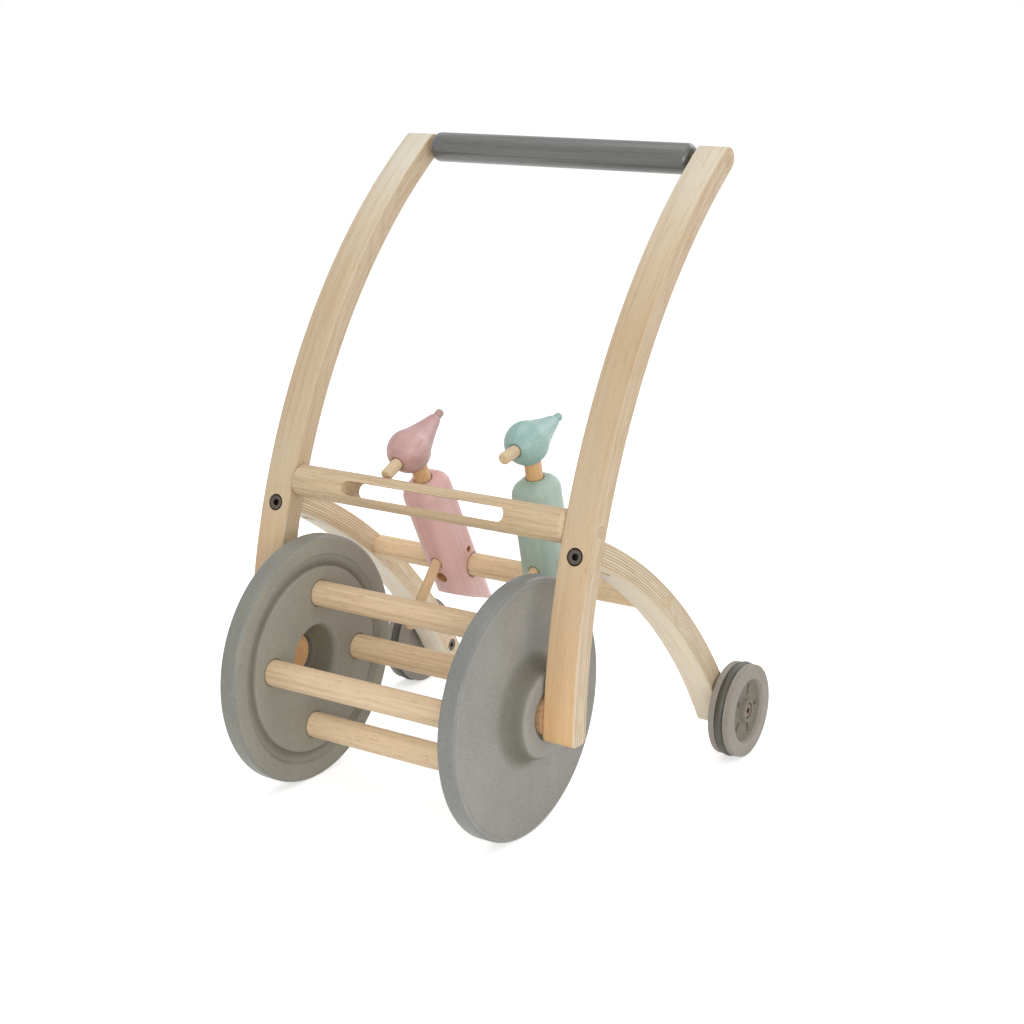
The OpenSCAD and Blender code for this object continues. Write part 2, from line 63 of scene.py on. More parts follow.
# Rails, legs and the bars between them
RAIL_X = 117.0
RAIL_W = 24.0
RAIL_T = 17.5
BEND_R = 476.0
RAIL_DROP = 17.0
RAIL_LEAD = 2.0
RAIL_OVER = 2.0
RAIL_FOOT_E = 5.0
LEG_FOOT_E = 6.0
LEG_TAIL = 17.0
BOARD_EASE = 0.9
HANDLE_ANGLE = 53.6
LOG_ANGLE = 17.7
BOLT_ANGLE = 15.4
JOINT_STEP = 0.5
HANDLE_R = 11.5
HANDLE_GAP = 4.0
HANDLE_E = 4.5
LOG_R = 12.0
LOG_E = 4.0
SLOT_LEN = 140.0
SLOT_H = 10.5
PERCH_R = 9.0
PERCH_BACK = 120.8
PERCH_UP = 1.0
TENON_R = 4.75
DOWEL_R = 4.0
DOWEL_GAP = 0.12

# Leg bolts and their cross nuts
BOLT_R = 3.0
BOLT_LEN = 53.2
BOLT_HEAD_R = 6.0
BOLT_HEAD_H = 4.5
BOLT_SINK = 0.3
BOLT_KEY_R = 2.5
NUT_IN = 28.0
NUT_HOLE_R = 5.1

# Rear wheels
REAR_R = 37.0
REAR_GAP = 2.0
REAR_W = 18.0
DISH_R = 25.0
DISH_DEEP = 4.0
BOSS_R = 8.8
RING_R = 3.5
RING_SHARE = 0.48
RING_GAP = 0.05
SLITS = 5
SLIT_PHASE = -15.0
SLEEVE_R = 4.0
SLEEVE_IN = 12.0
SLEEVE_HEAD_R = 5.8
SLEEVE_HEAD_H = 2.4
SLEEVE_SINK = 1.2

# Birds
BIRD_X = 43.0
BIRD_W = 32.0
BIRD_FRONT = 22.0
BIRD_BACK = 14.0
BODY_TOP = 88.0
BODY_CORNER = 12.3
BODY_CROWN = 12.2
TAIL_FRONT = -14.0
TAIL_BACK = -48.0
GREEN_LEAN = 15.5
HEAD_UP = 117.5
HEAD_R = 16.5
HEAD_F = 8.0
CREST_F = -29.5
CREST_LEN = 9.5
CREST_R = 3.25
CREST_SEAT = 9.0
NECK_R = 6.5
NECK_F = 4.0
NECK_SEAT = 14.0
NECK_TOP = 7.0
BEAK_R = 4.5
BEAK_REACH = 39.6
BEAK_E = 1.5
BEAK_GAP = 0.3
BEAK_TILT = 4.0
BEAK_ROOT = 3.0
PEG_R = 4.0
PEG_LEN = 56.0
PEG_SEAT = 13.0
PEG_H = 17.8
PEG_DOWN = 21.0
SPARE_H = 2.5
SPARE_DEEP = 6.0
PIN_H = 16.0
PIN_R = 2.5
SNUG = 0.15
SEAT_GAP = 0.2


def sind(a):
    return math.sin(math.radians(a))


def cosd(a):
    return math.cos(math.radians(a))


# Places worked out from the sizes, as distances behind and above the front axle
AXLE_Y = (WHEEL_R - WHEEL_BASE - REAR_R) / 2
AXLE_Z = WHEEL_R
RAIL_C = (BEND_R - RAIL_LEAD, -RAIL_DROP)
RAIL_MID = RAIL_X + RAIL_W / 2
RAIL_OUT = RAIL_X + RAIL_W
INNER_R = BEND_R - RAIL_T / 2
OUTER_R = BEND_R + RAIL_T / 2
BUSH_IN = STUB_R + BUSH_GAP
BUSH_OUT = BUSH_IN + BUSH_WALL
REAR_INNER = RAIL_OUT + REAR_GAP
REAR_FACE = REAR_INNER + REAR_W
SLEEVE_FACE = REAR_FACE - SLEEVE_SINK
RING_C = REAR_R - RING_R
RING_X = REAR_INNER + RING_SHARE * REAR_W


def at(x, y, z):
    """A point given in millimetres from the middle of the front axle."""
    return Vector((x, AXLE_Y + y, AXLE_Z + z)) * MM


def on_rail(radius, angle):
    return RAIL_C[0] - radius * cosd(angle), RAIL_C[1] + radius * sind(angle)


HANDLE_C = on_rail(BEND_R, HANDLE_ANGLE)
TOP_ANGLE = HANDLE_ANGLE + math.degrees(RAIL_OVER / BEND_R)
TOP_C = on_rail(BEND_R, TOP_ANGLE)
LOG_C = on_rail(BEND_R, LOG_ANGLE)
NUT_C = on_rail(INNER_R - NUT_IN, BOLT_ANGLE)
JOINT_ANGLE = BOLT_ANGLE + JOINT_STEP
JOINT_C = on_rail(INNER_R, JOINT_ANGLE)
REAR_C = (WHEEL_BASE, REAR_R - WHEEL_R)
CHORD = math.dist(JOINT_C, REAR_C)
SAG = math.sqrt(BEND_R ** 2 - (CHORD / 2) ** 2)
LEG_C = ((JOINT_C[0] + REAR_C[0]) / 2 + SAG * (REAR_C[1] - JOINT_C[1]) / CHORD,
         (JOINT_C[1] + REAR_C[1]) / 2 - SAG * (REAR_C[0] - JOINT_C[0]) / CHORD)


def leg_turn(spot):
    """The angle of a place on the legs' bend, from the rear level."""
    return math.atan2(spot[1] - LEG_C[1], spot[0] - LEG_C[0])


LEG_END = math.degrees(leg_turn(REAR_C) - LEG_TAIL / BEND_R)
LEG_START = math.degrees(leg_turn(JOINT_C))
PERCH_C = (PERCH_BACK, LEG_C[1] + PERCH_UP + math.sqrt(BEND_R ** 2 - (PERCH_BACK - LEG_C[0]) ** 2))

# The pink bird leans until the rounded lower edge of its beak is a small gap from the log
BEAK_LEN = (BEAK_REACH - HEAD_F) / cosd(BEAK_TILT)
EDGE = (HEAD_F + (BEAK_LEN - BEAK_E) * cosd(BEAK_TILT) + (BEAK_R - BEAK_E) * sind(BEAK_TILT),
        HEAD_UP + (BEAK_LEN - BEAK_E) * sind(BEAK_TILT) - (BEAK_R - BEAK_E) * cosd(BEAK_TILT))
LOG_FAR = (PERCH_C[0] - LOG_C[0], LOG_C[1] - PERCH_C[1])
EDGE_D = math.hypot(*EDGE)
LOG_D = math.hypot(*LOG_FAR)
STOP_D = LOG_R + BEAK_E + BEAK_GAP
STOP_TURN = math.acos((EDGE_D ** 2 + LOG_D ** 2 - STOP_D ** 2) / (2 * EDGE_D * LOG_D))
PINK_LEAN = math.degrees(math.atan2(EDGE[1], EDGE[0]) - math.atan2(LOG_FAR[1], LOG_FAR[0]) - STOP_TURN)


# Shader boards
class Wire:
    """A socket whose arithmetic adds Math nodes."""

    def __init__(self, board, socket):
        self.board = board
        self.socket = socket

    def maths(self, kind, a, b=0.0):
        return self.board.node("ShaderNodeMath", {"operation": kind}, {0: a, 1: b})

    def __add__(self, other):
        return self.maths("ADD", self, other)

    def __radd__(self, other):
        return self.maths("ADD", other, self)

    def __sub__(self, other):
        return self.maths("SUBTRACT", self, other)

    def __rsub__(self, other):
        return self.maths("SUBTRACT", other, self)

    def __mul__(self, other):
        return self.maths("MULTIPLY", self, other)

    def __rmul__(self, other):
        return self.maths("MULTIPLY", other, self)

    def __truediv__(self, other):
        return self.maths("DIVIDE", self, other)

    def __rtruediv__(self, other):
        return self.maths("DIVIDE", other, self)

    def __pow__(self, other):
        return self.maths("POWER", self, other)

    def __abs__(self):
        return self.maths("ABSOLUTE", self)


class Board:
    """The node board of a material or of the world."""

    def __init__(self, owner, shader="Principled BSDF"):
        self.owner = owner
        owner.use_nodes = True
        self.tree = owner.node_tree
        self.shader = self.tree.nodes[shader]

    def node(self, kind, settings, inputs, out=0):
        made = self.tree.nodes.new(kind)
        for key, value in settings.items():
            if key == "stops":
                ramp = made.color_ramp
                while len(ramp.elements) < len(value):
                    ramp.elements.new(0.5)
                for element, (place, colour) in zip(ramp.elements, value):
                    element.position = place
                    element.color = colour
            else:
                setattr(made, key, value)
        for key, value in inputs.items():
            if isinstance(value, Wire):
                self.tree.links.new(value.socket, made.inputs[key])
            else:
                made.inputs[key].default_value = value
        return Wire(self, made.outputs[out])

    def set(self, **values):
        for key, value in values.items():
            socket = self.shader.inputs[key.replace("_", " ").title()]
            if isinstance(value, Wire):
                self.tree.links.new(value.socket, socket)
            else:
                socket.default_value = value

    def shine(self, level):
        self.shader.inputs["Specular IOR Level"].default_value = level

    def place(self, turn=0.0, centre=(0.0, 0.0, 0.0)):
        """Object coordinates, turned about X and counted from a centre."""
        coords = self.node("ShaderNodeTexCoord", {}, {}, "Object")
        if turn or any(centre):
            back = Matrix.Rotation(-math.radians(turn), 3, "X") @ Vector(centre)
            coords = self.node("ShaderNodeMapping", {"vector_type": "POINT"},
                               {"Vector": coords, "Location": tuple(-back),
                                "Rotation": (-math.radians(turn), 0.0, 0.0)})
        split = self.node("ShaderNodeSeparateXYZ", {}, {0: coords})
        outs = split.socket.node.outputs
        return [Wire(self, outs[k]) for k in range(3)]

    def join(self, x, y, z):
        return self.node("ShaderNodeCombineXYZ", {}, {0: x, 1: y, 2: z})

    def noise(self, vector, detail=2.0, rough=0.5, warp=0.0, scale=1.0):
        return self.node("ShaderNodeTexNoise", {}, {
            "Vector": vector, "Scale": scale, "Detail": detail, "Roughness": rough, "Distortion": warp})

    def span(self, value, low, high):
        """Runs smoothly from 0 at one value to 1 at another."""
        return self.node("ShaderNodeMapRange", {"interpolation_type": "SMOOTHSTEP"},
                         {0: value, 1: low, 2: high, 3: 0.0, 4: 1.0})

    def fade(self, value, start, end):
        """The same between two distances in millimetres."""
        return self.span(value, start * MM, end * MM)

    def mix(self, factor, a, b, kind="MIX"):
        settings = {"data_type": "RGBA", "blend_type": kind}
        return self.node("ShaderNodeMix", settings, {0: factor, 6: a, 7: b}, 2)

    def base(self):
        """The wire that feeds the base colour."""
        return Wire(self, self.shader.inputs["Base Color"].links[0].from_socket)

    def tint(self, factor, colour):
        """Multiplies the base colour already set by another, where the factor says."""
        self.set(base_color=self.mix(factor, self.base(), colour, "MULTIPLY"))

    def bump(self, height, strength, depth):
        return self.node("ShaderNodeBump", {}, {"Height": height, "Strength": strength, "Distance": depth})

    def seen(self):
        """1 on rays that come from the camera, straight, by reflection or through glass."""
        path = self.node("ShaderNodeLightPath", {}, {}, "Is Camera Ray")
        outs = path.socket.node.outputs
        return path + Wire(self, outs["Is Glossy Ray"]) + Wire(self, outs["Is Transmission Ray"])


def new_board(name):
    return Board(bpy.data.materials.new(name))


def tone(red, green, blue):
    """A colour written as it shows on screen, from 0 to 255."""
    def linear(v):
        v /= 255.0
        return v / 12.92 if v <= 0.04045 else ((v + 0.055) / 1.055) ** 2.4
    return (linear(red), linear(green), linear(blue), 1.0)


def grey(level):
    return (level, level, level, 1.0)


GRAIN_TINT = (0.80, 0.69, 0.56, 1.0)
JOINT_TINT = (0.36, 0.30, 0.26, 1.0)
# Painted shade for the front wheels' groove, hub recess and fillet
PAINTED_SHADE_TINT = (0.56, 0.54, 0.47, 1.0)
# The tread's tint: partly its own bluish tone, partly painted shade
TREAD_TONE_AND_SHADE_TINT = (0.66, 0.69, 0.71, 1.0)
# Painted shade for the rear wheels' dish and boss
DISH_PAINTED_SHADE_TINT = (0.64, 0.63, 0.57, 1.0)
END_TINT = (0.66, 0.64, 0.62, 1.0)
# Painted light that makes the birds' tails paler
TAIL_PAINTED_LIGHT = grey(0.12)

# Cells of the wood's patterns in a metre, across the grain and along it
BAND_CELLS = (55.0, 3.0)
STREAK_CELLS = (420.0, 9.0)
FLECK_CELLS = (1200.0, 110.0)
FINE_DEPTH = 0.0003


def reach(a, b):
    return (a * a + b * b) ** 0.5


def wood_figure(board, across, depth, along):
    """Soft bands, streaks and short flecks that run along the grain."""
    def stretched(cells, detail, rough, warp):
        wide, long = cells
        return board.noise(board.join(across * wide, depth * wide, along * long), detail, rough, warp)
    bands = stretched(BAND_CELLS, 2.0, 0.5, 0.6)
    streaks = stretched(STREAK_CELLS, 3.0, 0.6, 0.3)
    flecks = stretched(FLECK_CELLS, 2.0, 0.5, 0.0)
    return bands, streaks, board.span(flecks, 0.56, 0.74)


def finish_wood(board, figure, tones, streak=0.7, fleck=0.7, rough=0.46, shine=0.35):
    """Light and dark bands with deeper streaks and flecks, under a satin finish."""
    bands, streaks, flecks = figure
    light, dark, deep = tones
    base = board.mix(board.span(bands, 0.25, 0.75), light, dark)
    grain = board.mix(board.span(streaks, 0.42, 0.80) * streak, base, deep)
    board.set(base_color=board.mix(flecks * fleck, grain, deep),
              roughness=rough + 0.10 * streaks,
              normal=board.bump(streaks * 0.6 - flecks, 0.16, FINE_DEPTH))
    board.shine(shine)


def dowel_wood(name, *tones, rough=0.46, streak=0.7, shine=0.35, ends=None):
    """Straight turned wood, its grain along X; ends is the distance past which its end grain is duller."""
    board = new_board(name)
    x, y, z = board.place()
    finish_wood(board, wood_figure(board, y, z, x), tones, streak, rough=rough, shine=shine)
    if ends is not None:
        board.tint(board.fade(abs(x), ends, ends + 1.0), END_TINT)
    return board.owner


def joint_line(board, a, b, r):
    """A thin line round a dowel of radius r, from two distances across its axis."""
    return board.fade(reach(a, b), r + 1.4, r + 0.4)


def body_marks(board, side, y, z):
    """Bare wood in the two empty holes, a tail made paler by painted light, and dark lines round the neck,
    perch and peg.
    """
    front = y + BIRD_FRONT * MM
    low = board.fade(y, -10.0, -12.0)
    spare = (z - SPARE_H * MM) * cosd(PEG_DOWN) - front * sind(PEG_DOWN)
    lever = (z - PEG_H * MM) * cosd(PEG_DOWN) - front * sind(PEG_DOWN)
    in_spare = board.fade(reach(side, spare), PEG_R + 0.40, PEG_R + 0.30) * low
    in_pin = board.fade(reach(y, z - PIN_H * MM), PIN_R + 0.10, PIN_R + 0.02) * board.fade(side, 0.0, 2.0)
    # Painted light: the body is made paler towards its lower end
    pale = board.mix(board.fade(z, 10.0, -25.0), board.base(), TAIL_PAINTED_LIGHT, "ADD")
    board.set(base_color=board.mix(in_spare + in_pin, pale, BARE))
    neck = joint_line(board, side, y + NECK_F * MM, NECK_R) * board.fade(z, BODY_TOP - 10.0, BODY_TOP - 4.0)
    perch = joint_line(board, y, z, PERCH_R + 0.3)
    board.tint(neck + perch + joint_line(board, side, lever, PEG_R) * low, JOINT_TINT)


def head_marks(board, side, y, z):
    """Dark lines round the beak and the neck."""
    off = (y + HEAD_F * MM) * sind(BEAK_TILT) + (z - HEAD_UP * MM) * cosd(BEAK_TILT)
    beak = joint_line(board, side, off, BEAK_R) * board.fade(y, -HEAD_F, -(HEAD_F + 4.0))
    under = board.fade(z, HEAD_UP - 6.0, HEAD_UP - 9.0)
    board.tint(beak + joint_line(board, side, y + NECK_F * MM, NECK_R) * under, JOINT_TINT)


def bird_wood(name, lean, tones, along="up", middle=0.0, marks=None):
    """Wood of a bird's piece, its grain up the body or along the head; middle is the bird's place across."""
    board = new_board(name)
    x, y, z = board.place(lean, at(0.0, *PERCH_C))
    figure = wood_figure(board, x, y, z) if along == "up" else wood_figure(board, x, z, y)
    finish_wood(board, figure, tones, streak=0.4, fleck=0.3, rough=0.36, shine=0.5)
    if marks:
        marks(board, x - middle * MM, y, z)
    return board.owner


def laminated_wood(name, centre, way, layers, face, side, glue, lines):
    """Bent layers: the grain follows the bend, and glue lines show on the sides, where the layers are cut.

    way is -1 where angles count from the front level and 1 from the rear.
    face and side are tones along the bend, and lines is the strength of the glue lines.
    """
    board = new_board(name)
    x, y, z = board.place()
    dy = y - (AXLE_Y + centre[0]) * MM
    dz = z - (AXLE_Z + centre[1]) * MM
    radius = reach(dy, dz)
    turn = board.node("ShaderNodeMath", {"operation": "ARCTAN2"}, {0: dz, 1: dy * way})
    along = turn * (BEND_R * MM)
    level = (radius - INNER_R * MM) * (layers / (RAIL_T * MM))
    layer = board.node("ShaderNodeMath", {"operation": "FLOOR"}, {0: level})
    shade = board.node("ShaderNodeTexWhiteNoise", {"noise_dimensions": "1D"}, {"W": layer + 0.37})
    flank = abs(abs(x) - RAIL_MID * MM)
    cut_side = board.fade(flank, RAIL_W / 2 - 0.8, RAIL_W / 2 - 0.3)
    place = turn / math.radians(90.0)
    face_tone = board.node("ShaderNodeValToRGB", {"stops": face}, {0: place})
    side_tone = board.node("ShaderNodeValToRGB", {"stops": side}, {0: place})
    ground = board.mix(cut_side, face_tone, side_tone)

    def darken(factor, colour):
        return board.mix(factor, colour, GRAIN_TINT, "MULTIPLY")
    bands, streaks, flecks = wood_figure(board, x + shade * 0.11, radius, along)
    wobble = board.noise(board.join(x * 40.0, radius * 40.0, along * 7.0))
    rings = board.node("ShaderNodeMath", {"operation": "SINE"},
                       {0: (x * x * 5200.0 + along * 9.0 + wobble * 2.2) * 14.0})
    ply = darken(shade * cut_side * 0.25, ground)
    banded = darken(board.span(bands, 0.35, 0.75) * 0.35, ply)
    ringed = darken(board.span(rings, 0.2, 1.0) * 0.26, banded)
    streaked = darken(board.span(streaks, 0.45, 0.82) * 0.70, ringed)
    wood = darken(flecks * 0.5, streaked)
    edge = abs(level - layer - 0.5)
    skin = abs(radius - BEND_R * MM)
    inside = board.fade(skin, RAIL_T / 2 - 0.15, RAIL_T / 2 - 0.7)
    wander = board.noise(board.join(layer * 3.7, along * 30.0, x * 20.0))
    seam = board.span(edge, 0.26, 0.37) * inside * cut_side * board.span(wander, 0.2, 0.5)
    board.set(base_color=board.mix(seam * lines, wood, glue),
              roughness=0.42 + 0.10 * streaks,
              normal=board.bump(streaks * 0.6 - flecks - seam * 0.5, 0.14, FINE_DEPTH))
    board.shine(0.4)
    return board.owner


def drum_shade(board, x, y, z):
    """Painted shade in the front wheels' groove, hub recess and fillet, dark lines round the rods, and a
    sleek tread.
    """
    dy = y - AXLE_Y * MM
    dz = z - AXLE_Z * MM
    radius = reach(dy, dz)
    depth = abs(x) - WHEEL_IN * MM
    # Painted shade: the groove, the hub recess and the fillet round the hub are darkened
    line = (board.fade(radius, GROOVE_IN + 0.8, GROOVE_IN + 1.8)
            * board.fade(radius, GROOVE_OUT - 3.0, GROOVE_IN + 2.2))
    groove = line * board.fade(depth, 0.2, 1.6) * board.fade(depth, 5.0, 4.0)
    recess = board.fade(radius, 30.0, 25.0) * board.fade(depth, 1.0, 7.0) * board.fade(depth, 25.0, 21.0)
    fillet = board.fade(radius, 44.0, 35.0) * board.fade(radius, 29.5, 32.0) * board.fade(depth, 13.0, 14.0)
    board.tint(groove * 0.9 + recess + fillet, PAINTED_SHADE_TINT)
    rods = 0.0
    for rod_y, rod_z in rod_places():
        rods = joint_line(board, dy - rod_y * MM, dz - rod_z * MM, ROD_R) + rods
    board.tint(rods * board.fade(depth, 2.0, 1.0) * 0.8, JOINT_TINT)
    # The tread's darker tint is partly its own bluish tone and partly painted shade; the coat gives it a real
    # sheen
    tread = board.fade(radius, WHEEL_R - 2.6, WHEEL_R - 0.8)
    board.tint(tread, TREAD_TONE_AND_SHADE_TINT)
    board.set(coat_weight=tread * 0.6, coat_roughness=0.32)


def dish_shade(board, x, y, z):
    """Painted shade on the rear wheels: the floor of the dish and the boss in its middle are darkened."""
    radius = reach(y - (AXLE_Y + REAR_C[0]) * MM, z - (AXLE_Z + REAR_C[1]) * MM)
    depth = abs(x)
    dish = board.fade(radius, DISH_R - 0.4, DISH_R - 1.0)
    inside = dish * board.fade(depth, REAR_FACE - 8.0, REAR_FACE - 7.0)
    floor = board.fade(depth, REAR_FACE - 1.6, REAR_FACE - 3.4)
    boss = board.fade(radius, BOSS_R + 2.2, BOSS_R + 0.8)
    board.tint(inside * (floor + boss), DISH_PAINTED_SHADE_TINT)


def rod_places():
    """The drum rods' places round the axle: rear, top, front and bottom."""
    turns = [DRUM_PHASE + 90.0 * k for k in range(4)]
    return [(ROD_CIRCLE * cosd(turn), ROD_CIRCLE * sind(turn)) for turn in turns]


def composite(name, base, pale, dark, shade):
    """Moulded wood composite: fine pale and dark specks in a matt ground."""
    board = new_board(name)
    x, y, z = board.place()
    spot = board.join(x, y, z)
    fine = board.noise(spot, 2.0, 0.6, scale=950.0)
    grit = board.noise(spot, 1.0, 0.5, scale=480.0)
    cloud = board.noise(spot, 3.0, 0.6, scale=24.0)
    ground = board.mix(board.span(cloud, 0.3, 0.7) * 0.5, base, dark)
    specked = board.mix(board.span(fine, 0.52, 0.70) * 0.5, ground, pale)
    board.set(base_color=board.mix(board.span(grit, 0.54, 0.72) * 0.45, specked, dark),
              roughness=0.62 + 0.12 * fine,
              normal=board.bump(fine, 0.12, FINE_DEPTH))
    board.shine(0.3)
    shade(board, x, y, z)
    return board.owner


def rubber(name, base, dark):
    board = new_board(name)
    spot = board.join(*board.place())
    fine = board.noise(spot, 3.0, scale=900.0)
    cloud = board.noise(spot, 2.0, scale=60.0)
    board.set(base_color=board.mix(board.span(cloud, 0.3, 0.7) * 0.6, base, dark),
              roughness=0.40 + 0.15 * fine,
              normal=board.bump(fine, 0.06, 0.0002))
    return board.owner


def coated_metal(name, base, worn):
    board = new_board(name)
    spot = board.join(*board.place())
    fine = board.noise(spot, 3.0, scale=1400.0)
    cloud = board.noise(spot, 2.0, scale=260.0)
    board.set(base_color=board.mix(board.span(cloud, 0.4, 0.75) * 0.6, base, worn),
              metallic=0.85,
              roughness=0.36 + 0.14 * fine,
              normal=board.bump(fine, 0.05, 0.0001))
    return board.owner


def bolt_metal(name, base, worn, rim):
    """The leg bolts' metal, with painted shade: dark round the rim of the head, by its seat's gap, and in its
    socket.
    """
    board = new_board(name)
    x, y, z = board.place(90.0 - BOLT_ANGLE, at(0.0, *RAIL_C))
    fine = board.noise(board.join(x, y, z), 3.0, scale=1400.0)
    radius = reach(abs(x) - RAIL_MID * MM, y)
    metal = board.mix(board.span(fine, 0.4, 0.7), base, worn)
    # Painted shade at the head's rim and in the hex socket
    dark = board.fade(radius, BOLT_HEAD_R - 1.4, BOLT_HEAD_R - 0.7) + board.fade(radius, 2.9, 2.3)
    board.set(base_color=board.mix(dark, metal, rim),
              metallic=0.7,
              roughness=0.36 + 0.14 * fine,
              normal=board.bump(fine, 0.05, 0.0001))
    return board.owner


# Materials
BARE = tone(198, 146, 94)
# The face tones run from warm tan at the foot to pale cream at the top: partly a real drift of the wood's
# tone, partly painted light from above
laminated_rail = laminated_wood(
    "laminated_rail", RAIL_C, -1, 6,
    [(0.0, tone(224, 186, 137)), (0.12, tone(212, 186, 152)), (0.22, tone(206, 187, 158)),
     (0.30, tone(202, 181, 151)), (0.38, tone(203, 181, 151)), (0.49, tone(215, 200, 174)),
     (0.56, tone(223, 215, 197))],
    [(0.0, tone(220, 204, 179)), (0.18, tone(212, 194, 166)), (0.50, tone(210, 192, 165))],
    tone(156, 126, 90), 0.4)
# Painted light: the two legs are lit and shaded copies of one laminated wood, the right one lighter and
# whiter
left_leg_wood_painted_light = laminated_wood(
    "left_leg_wood_painted_light", LEG_C, 1, 9,
    [(0.0, tone(238, 229, 207)), (0.5, tone(236, 223, 198))],
    [(0.0, tone(216, 203, 179)), (0.5, tone(214, 200, 174))],
    tone(152, 122, 86), 0.75)
right_leg_wood_painted_light = laminated_wood(
    "right_leg_wood_painted_light", LEG_C, 1, 9,
    [(0.0, tone(253, 247, 230)), (0.5, tone(252, 244, 224))],
    [(0.0, tone(246, 232, 206)), (0.5, tone(244, 229, 200))],
    tone(176, 128, 84), 0.7)
log_wood = dowel_wood(
    "log_wood", tone(214, 193, 161), tone(202, 179, 144), tone(172, 141, 105))
rod_wood = dowel_wood(
    "rod_wood", tone(230, 205, 172), tone(220, 193, 158), tone(188, 154, 116))
# Painted light: a lighter copy of rod_wood for the rear and bottom rods, which stand in more shade
inner_rod_wood_painted_light = dowel_wood(
    "inner_rod_wood_painted_light", tone(242, 217, 181), tone(232, 205, 167), tone(200, 164, 124))
# Painted light: the perch is made lighter than the rods to make up for the shade it stands in
perch_wood_painted_light = dowel_wood(
    "perch_wood_painted_light", tone(244, 218, 180), tone(234, 206, 166), tone(204, 166, 124), ends=RAIL_X)
# Painted light: the left stub is a shaded copy and the right stub a lit copy of one wood
left_stub_wood_painted_shade = dowel_wood(
    "left_stub_wood_painted_shade", tone(184, 150, 113), tone(170, 134, 98), tone(134, 100, 68))
right_stub_wood_painted_light = dowel_wood(
    "right_stub_wood_painted_light", tone(252, 204, 150), tone(240, 188, 134), tone(206, 156, 106))
plug_wood = dowel_wood(
    "plug_wood", tone(196, 174, 144), tone(188, 166, 136), tone(166, 142, 112))
handle_stain = dowel_wood(
    "handle_stain", tone(103, 104, 100), tone(86, 87, 84), tone(62, 63, 60),
    rough=0.24, streak=0.8, shine=0.8)
# Painted light: the right wheel is a warmer copy of the left, for light bounced from the wood; both carry the
# painted shade of drum_shade
left_grey_painted_shade = composite(
    "left_grey_painted_shade", tone(154, 152, 146), tone(178, 176, 170), tone(136, 134, 127), drum_shade)
right_grey_painted_light = composite(
    "right_grey_painted_light", tone(156, 153, 140), tone(179, 176, 163), tone(138, 135, 122), drum_shade)
# The rear wheels' composite carries the painted shade of dish_shade
rear_grey_painted_shade = composite(
    "rear_grey_painted_shade", tone(158, 151, 142), tone(182, 175, 166), tone(138, 131, 122), dish_shade)
ring_rubber = rubber("ring_rubber", tone(84, 81, 72), tone(68, 66, 58))
bush_plastic = rubber("bush_plastic", tone(122, 125, 122), tone(104, 107, 104))
bronze = coated_metal("bronze", tone(96, 88, 78), tone(126, 116, 102))
warm_bronze = coated_metal("warm_bronze", tone(116, 99, 82), tone(140, 121, 101))
nut_steel = coated_metal("nut_steel", tone(170, 170, 166), tone(196, 196, 192))
bolt_bronze_painted_shade = bolt_metal("bolt_bronze_painted_shade", tone(92, 84, 75), tone(116, 107, 95), tone(38, 34, 30))
NECK_TONES = (tone(234, 192, 142), tone(224, 180, 128), tone(190, 142, 94))
BEAK_TONES = (tone(222, 201, 168), tone(210, 186, 150), tone(182, 150, 112))
PEG_TONES = (tone(240, 208, 166), tone(230, 196, 152), tone(196, 156, 112))
PINK_TONES = {
    "body": (tone(237, 194, 189), tone(227, 180, 175), tone(206, 156, 152)),
    "head": (tone(206, 170, 164), tone(184, 143, 138), tone(164, 120, 117)),
    "crest": (tone(188, 156, 148), tone(172, 138, 132), tone(150, 116, 110)),
}
GREEN_TONES = {
    "body": (tone(190, 211, 198), tone(176, 199, 187), tone(150, 177, 165)),
    "head": (tone(168, 196, 188), tone(136, 174, 170), tone(114, 154, 150)),
    "crest": (tone(156, 188, 180), tone(140, 174, 167), tone(118, 154, 148)),
}


# Modelling tools
def clear_choice():
    if bpy.context.mode != "OBJECT":
        bpy.ops.object.mode_set(mode="OBJECT")
    bpy.ops.object.select_all(action="DESELECT")


def choose(obj):
    clear_choice()
    obj.select_set(True)
    bpy.context.view_layer.objects.active = obj


def open_mesh(obj, mode="VERT"):
    choose(obj)
    bpy.ops.object.mode_set(mode="EDIT")
    bpy.ops.mesh.select_mode(type=mode)
    bpy.ops.mesh.select_all(action="SELECT")


def close_mesh():
    bpy.ops.object.mode_set(mode="OBJECT")


def turn_outwards(obj):
    open_mesh(obj)
    bpy.ops.mesh.normals_make_consistent(inside=False)
    close_mesh()


def tidy_mesh():
    """Merges what a spin or cut left double, drops inner walls, and turns the faces outwards."""
    bpy.ops.mesh.select_mode(type="VERT")
    bpy.ops.mesh.select_all(action="SELECT")
    bpy.ops.mesh.remove_doubles(threshold=1e-5)
    bpy.ops.mesh.select_mode(type="FACE")
    bpy.ops.mesh.select_all(action="DESELECT")
    bpy.ops.mesh.select_interior_faces()
    bpy.ops.mesh.delete(type="FACE")
    bpy.ops.mesh.select_all(action="SELECT")
    bpy.ops.mesh.normals_make_consistent(inside=False)
    close_mesh()


def fix_place(obj):
    choose(obj)
    bpy.ops.object.transform_apply(location=True, rotation=True, scale=True)


def carry(obj, matrix):
    """Moves a finished shape, and keeps its object at the origin."""
    obj.matrix_world = matrix
    fix_place(obj)
    return obj


def smooth(obj, angle=35.0):
    choose(obj)
    bpy.ops.object.shade_smooth_by_angle(angle=math.radians(angle))
    return obj


def apply_modifier(obj, kind, **settings):
    choose(obj)
    made = obj.modifiers.new(kind.lower(), kind)
    for key, value in settings.items():
        setattr(made, key, value)
    bpy.ops.object.modifier_apply(modifier=made.name)


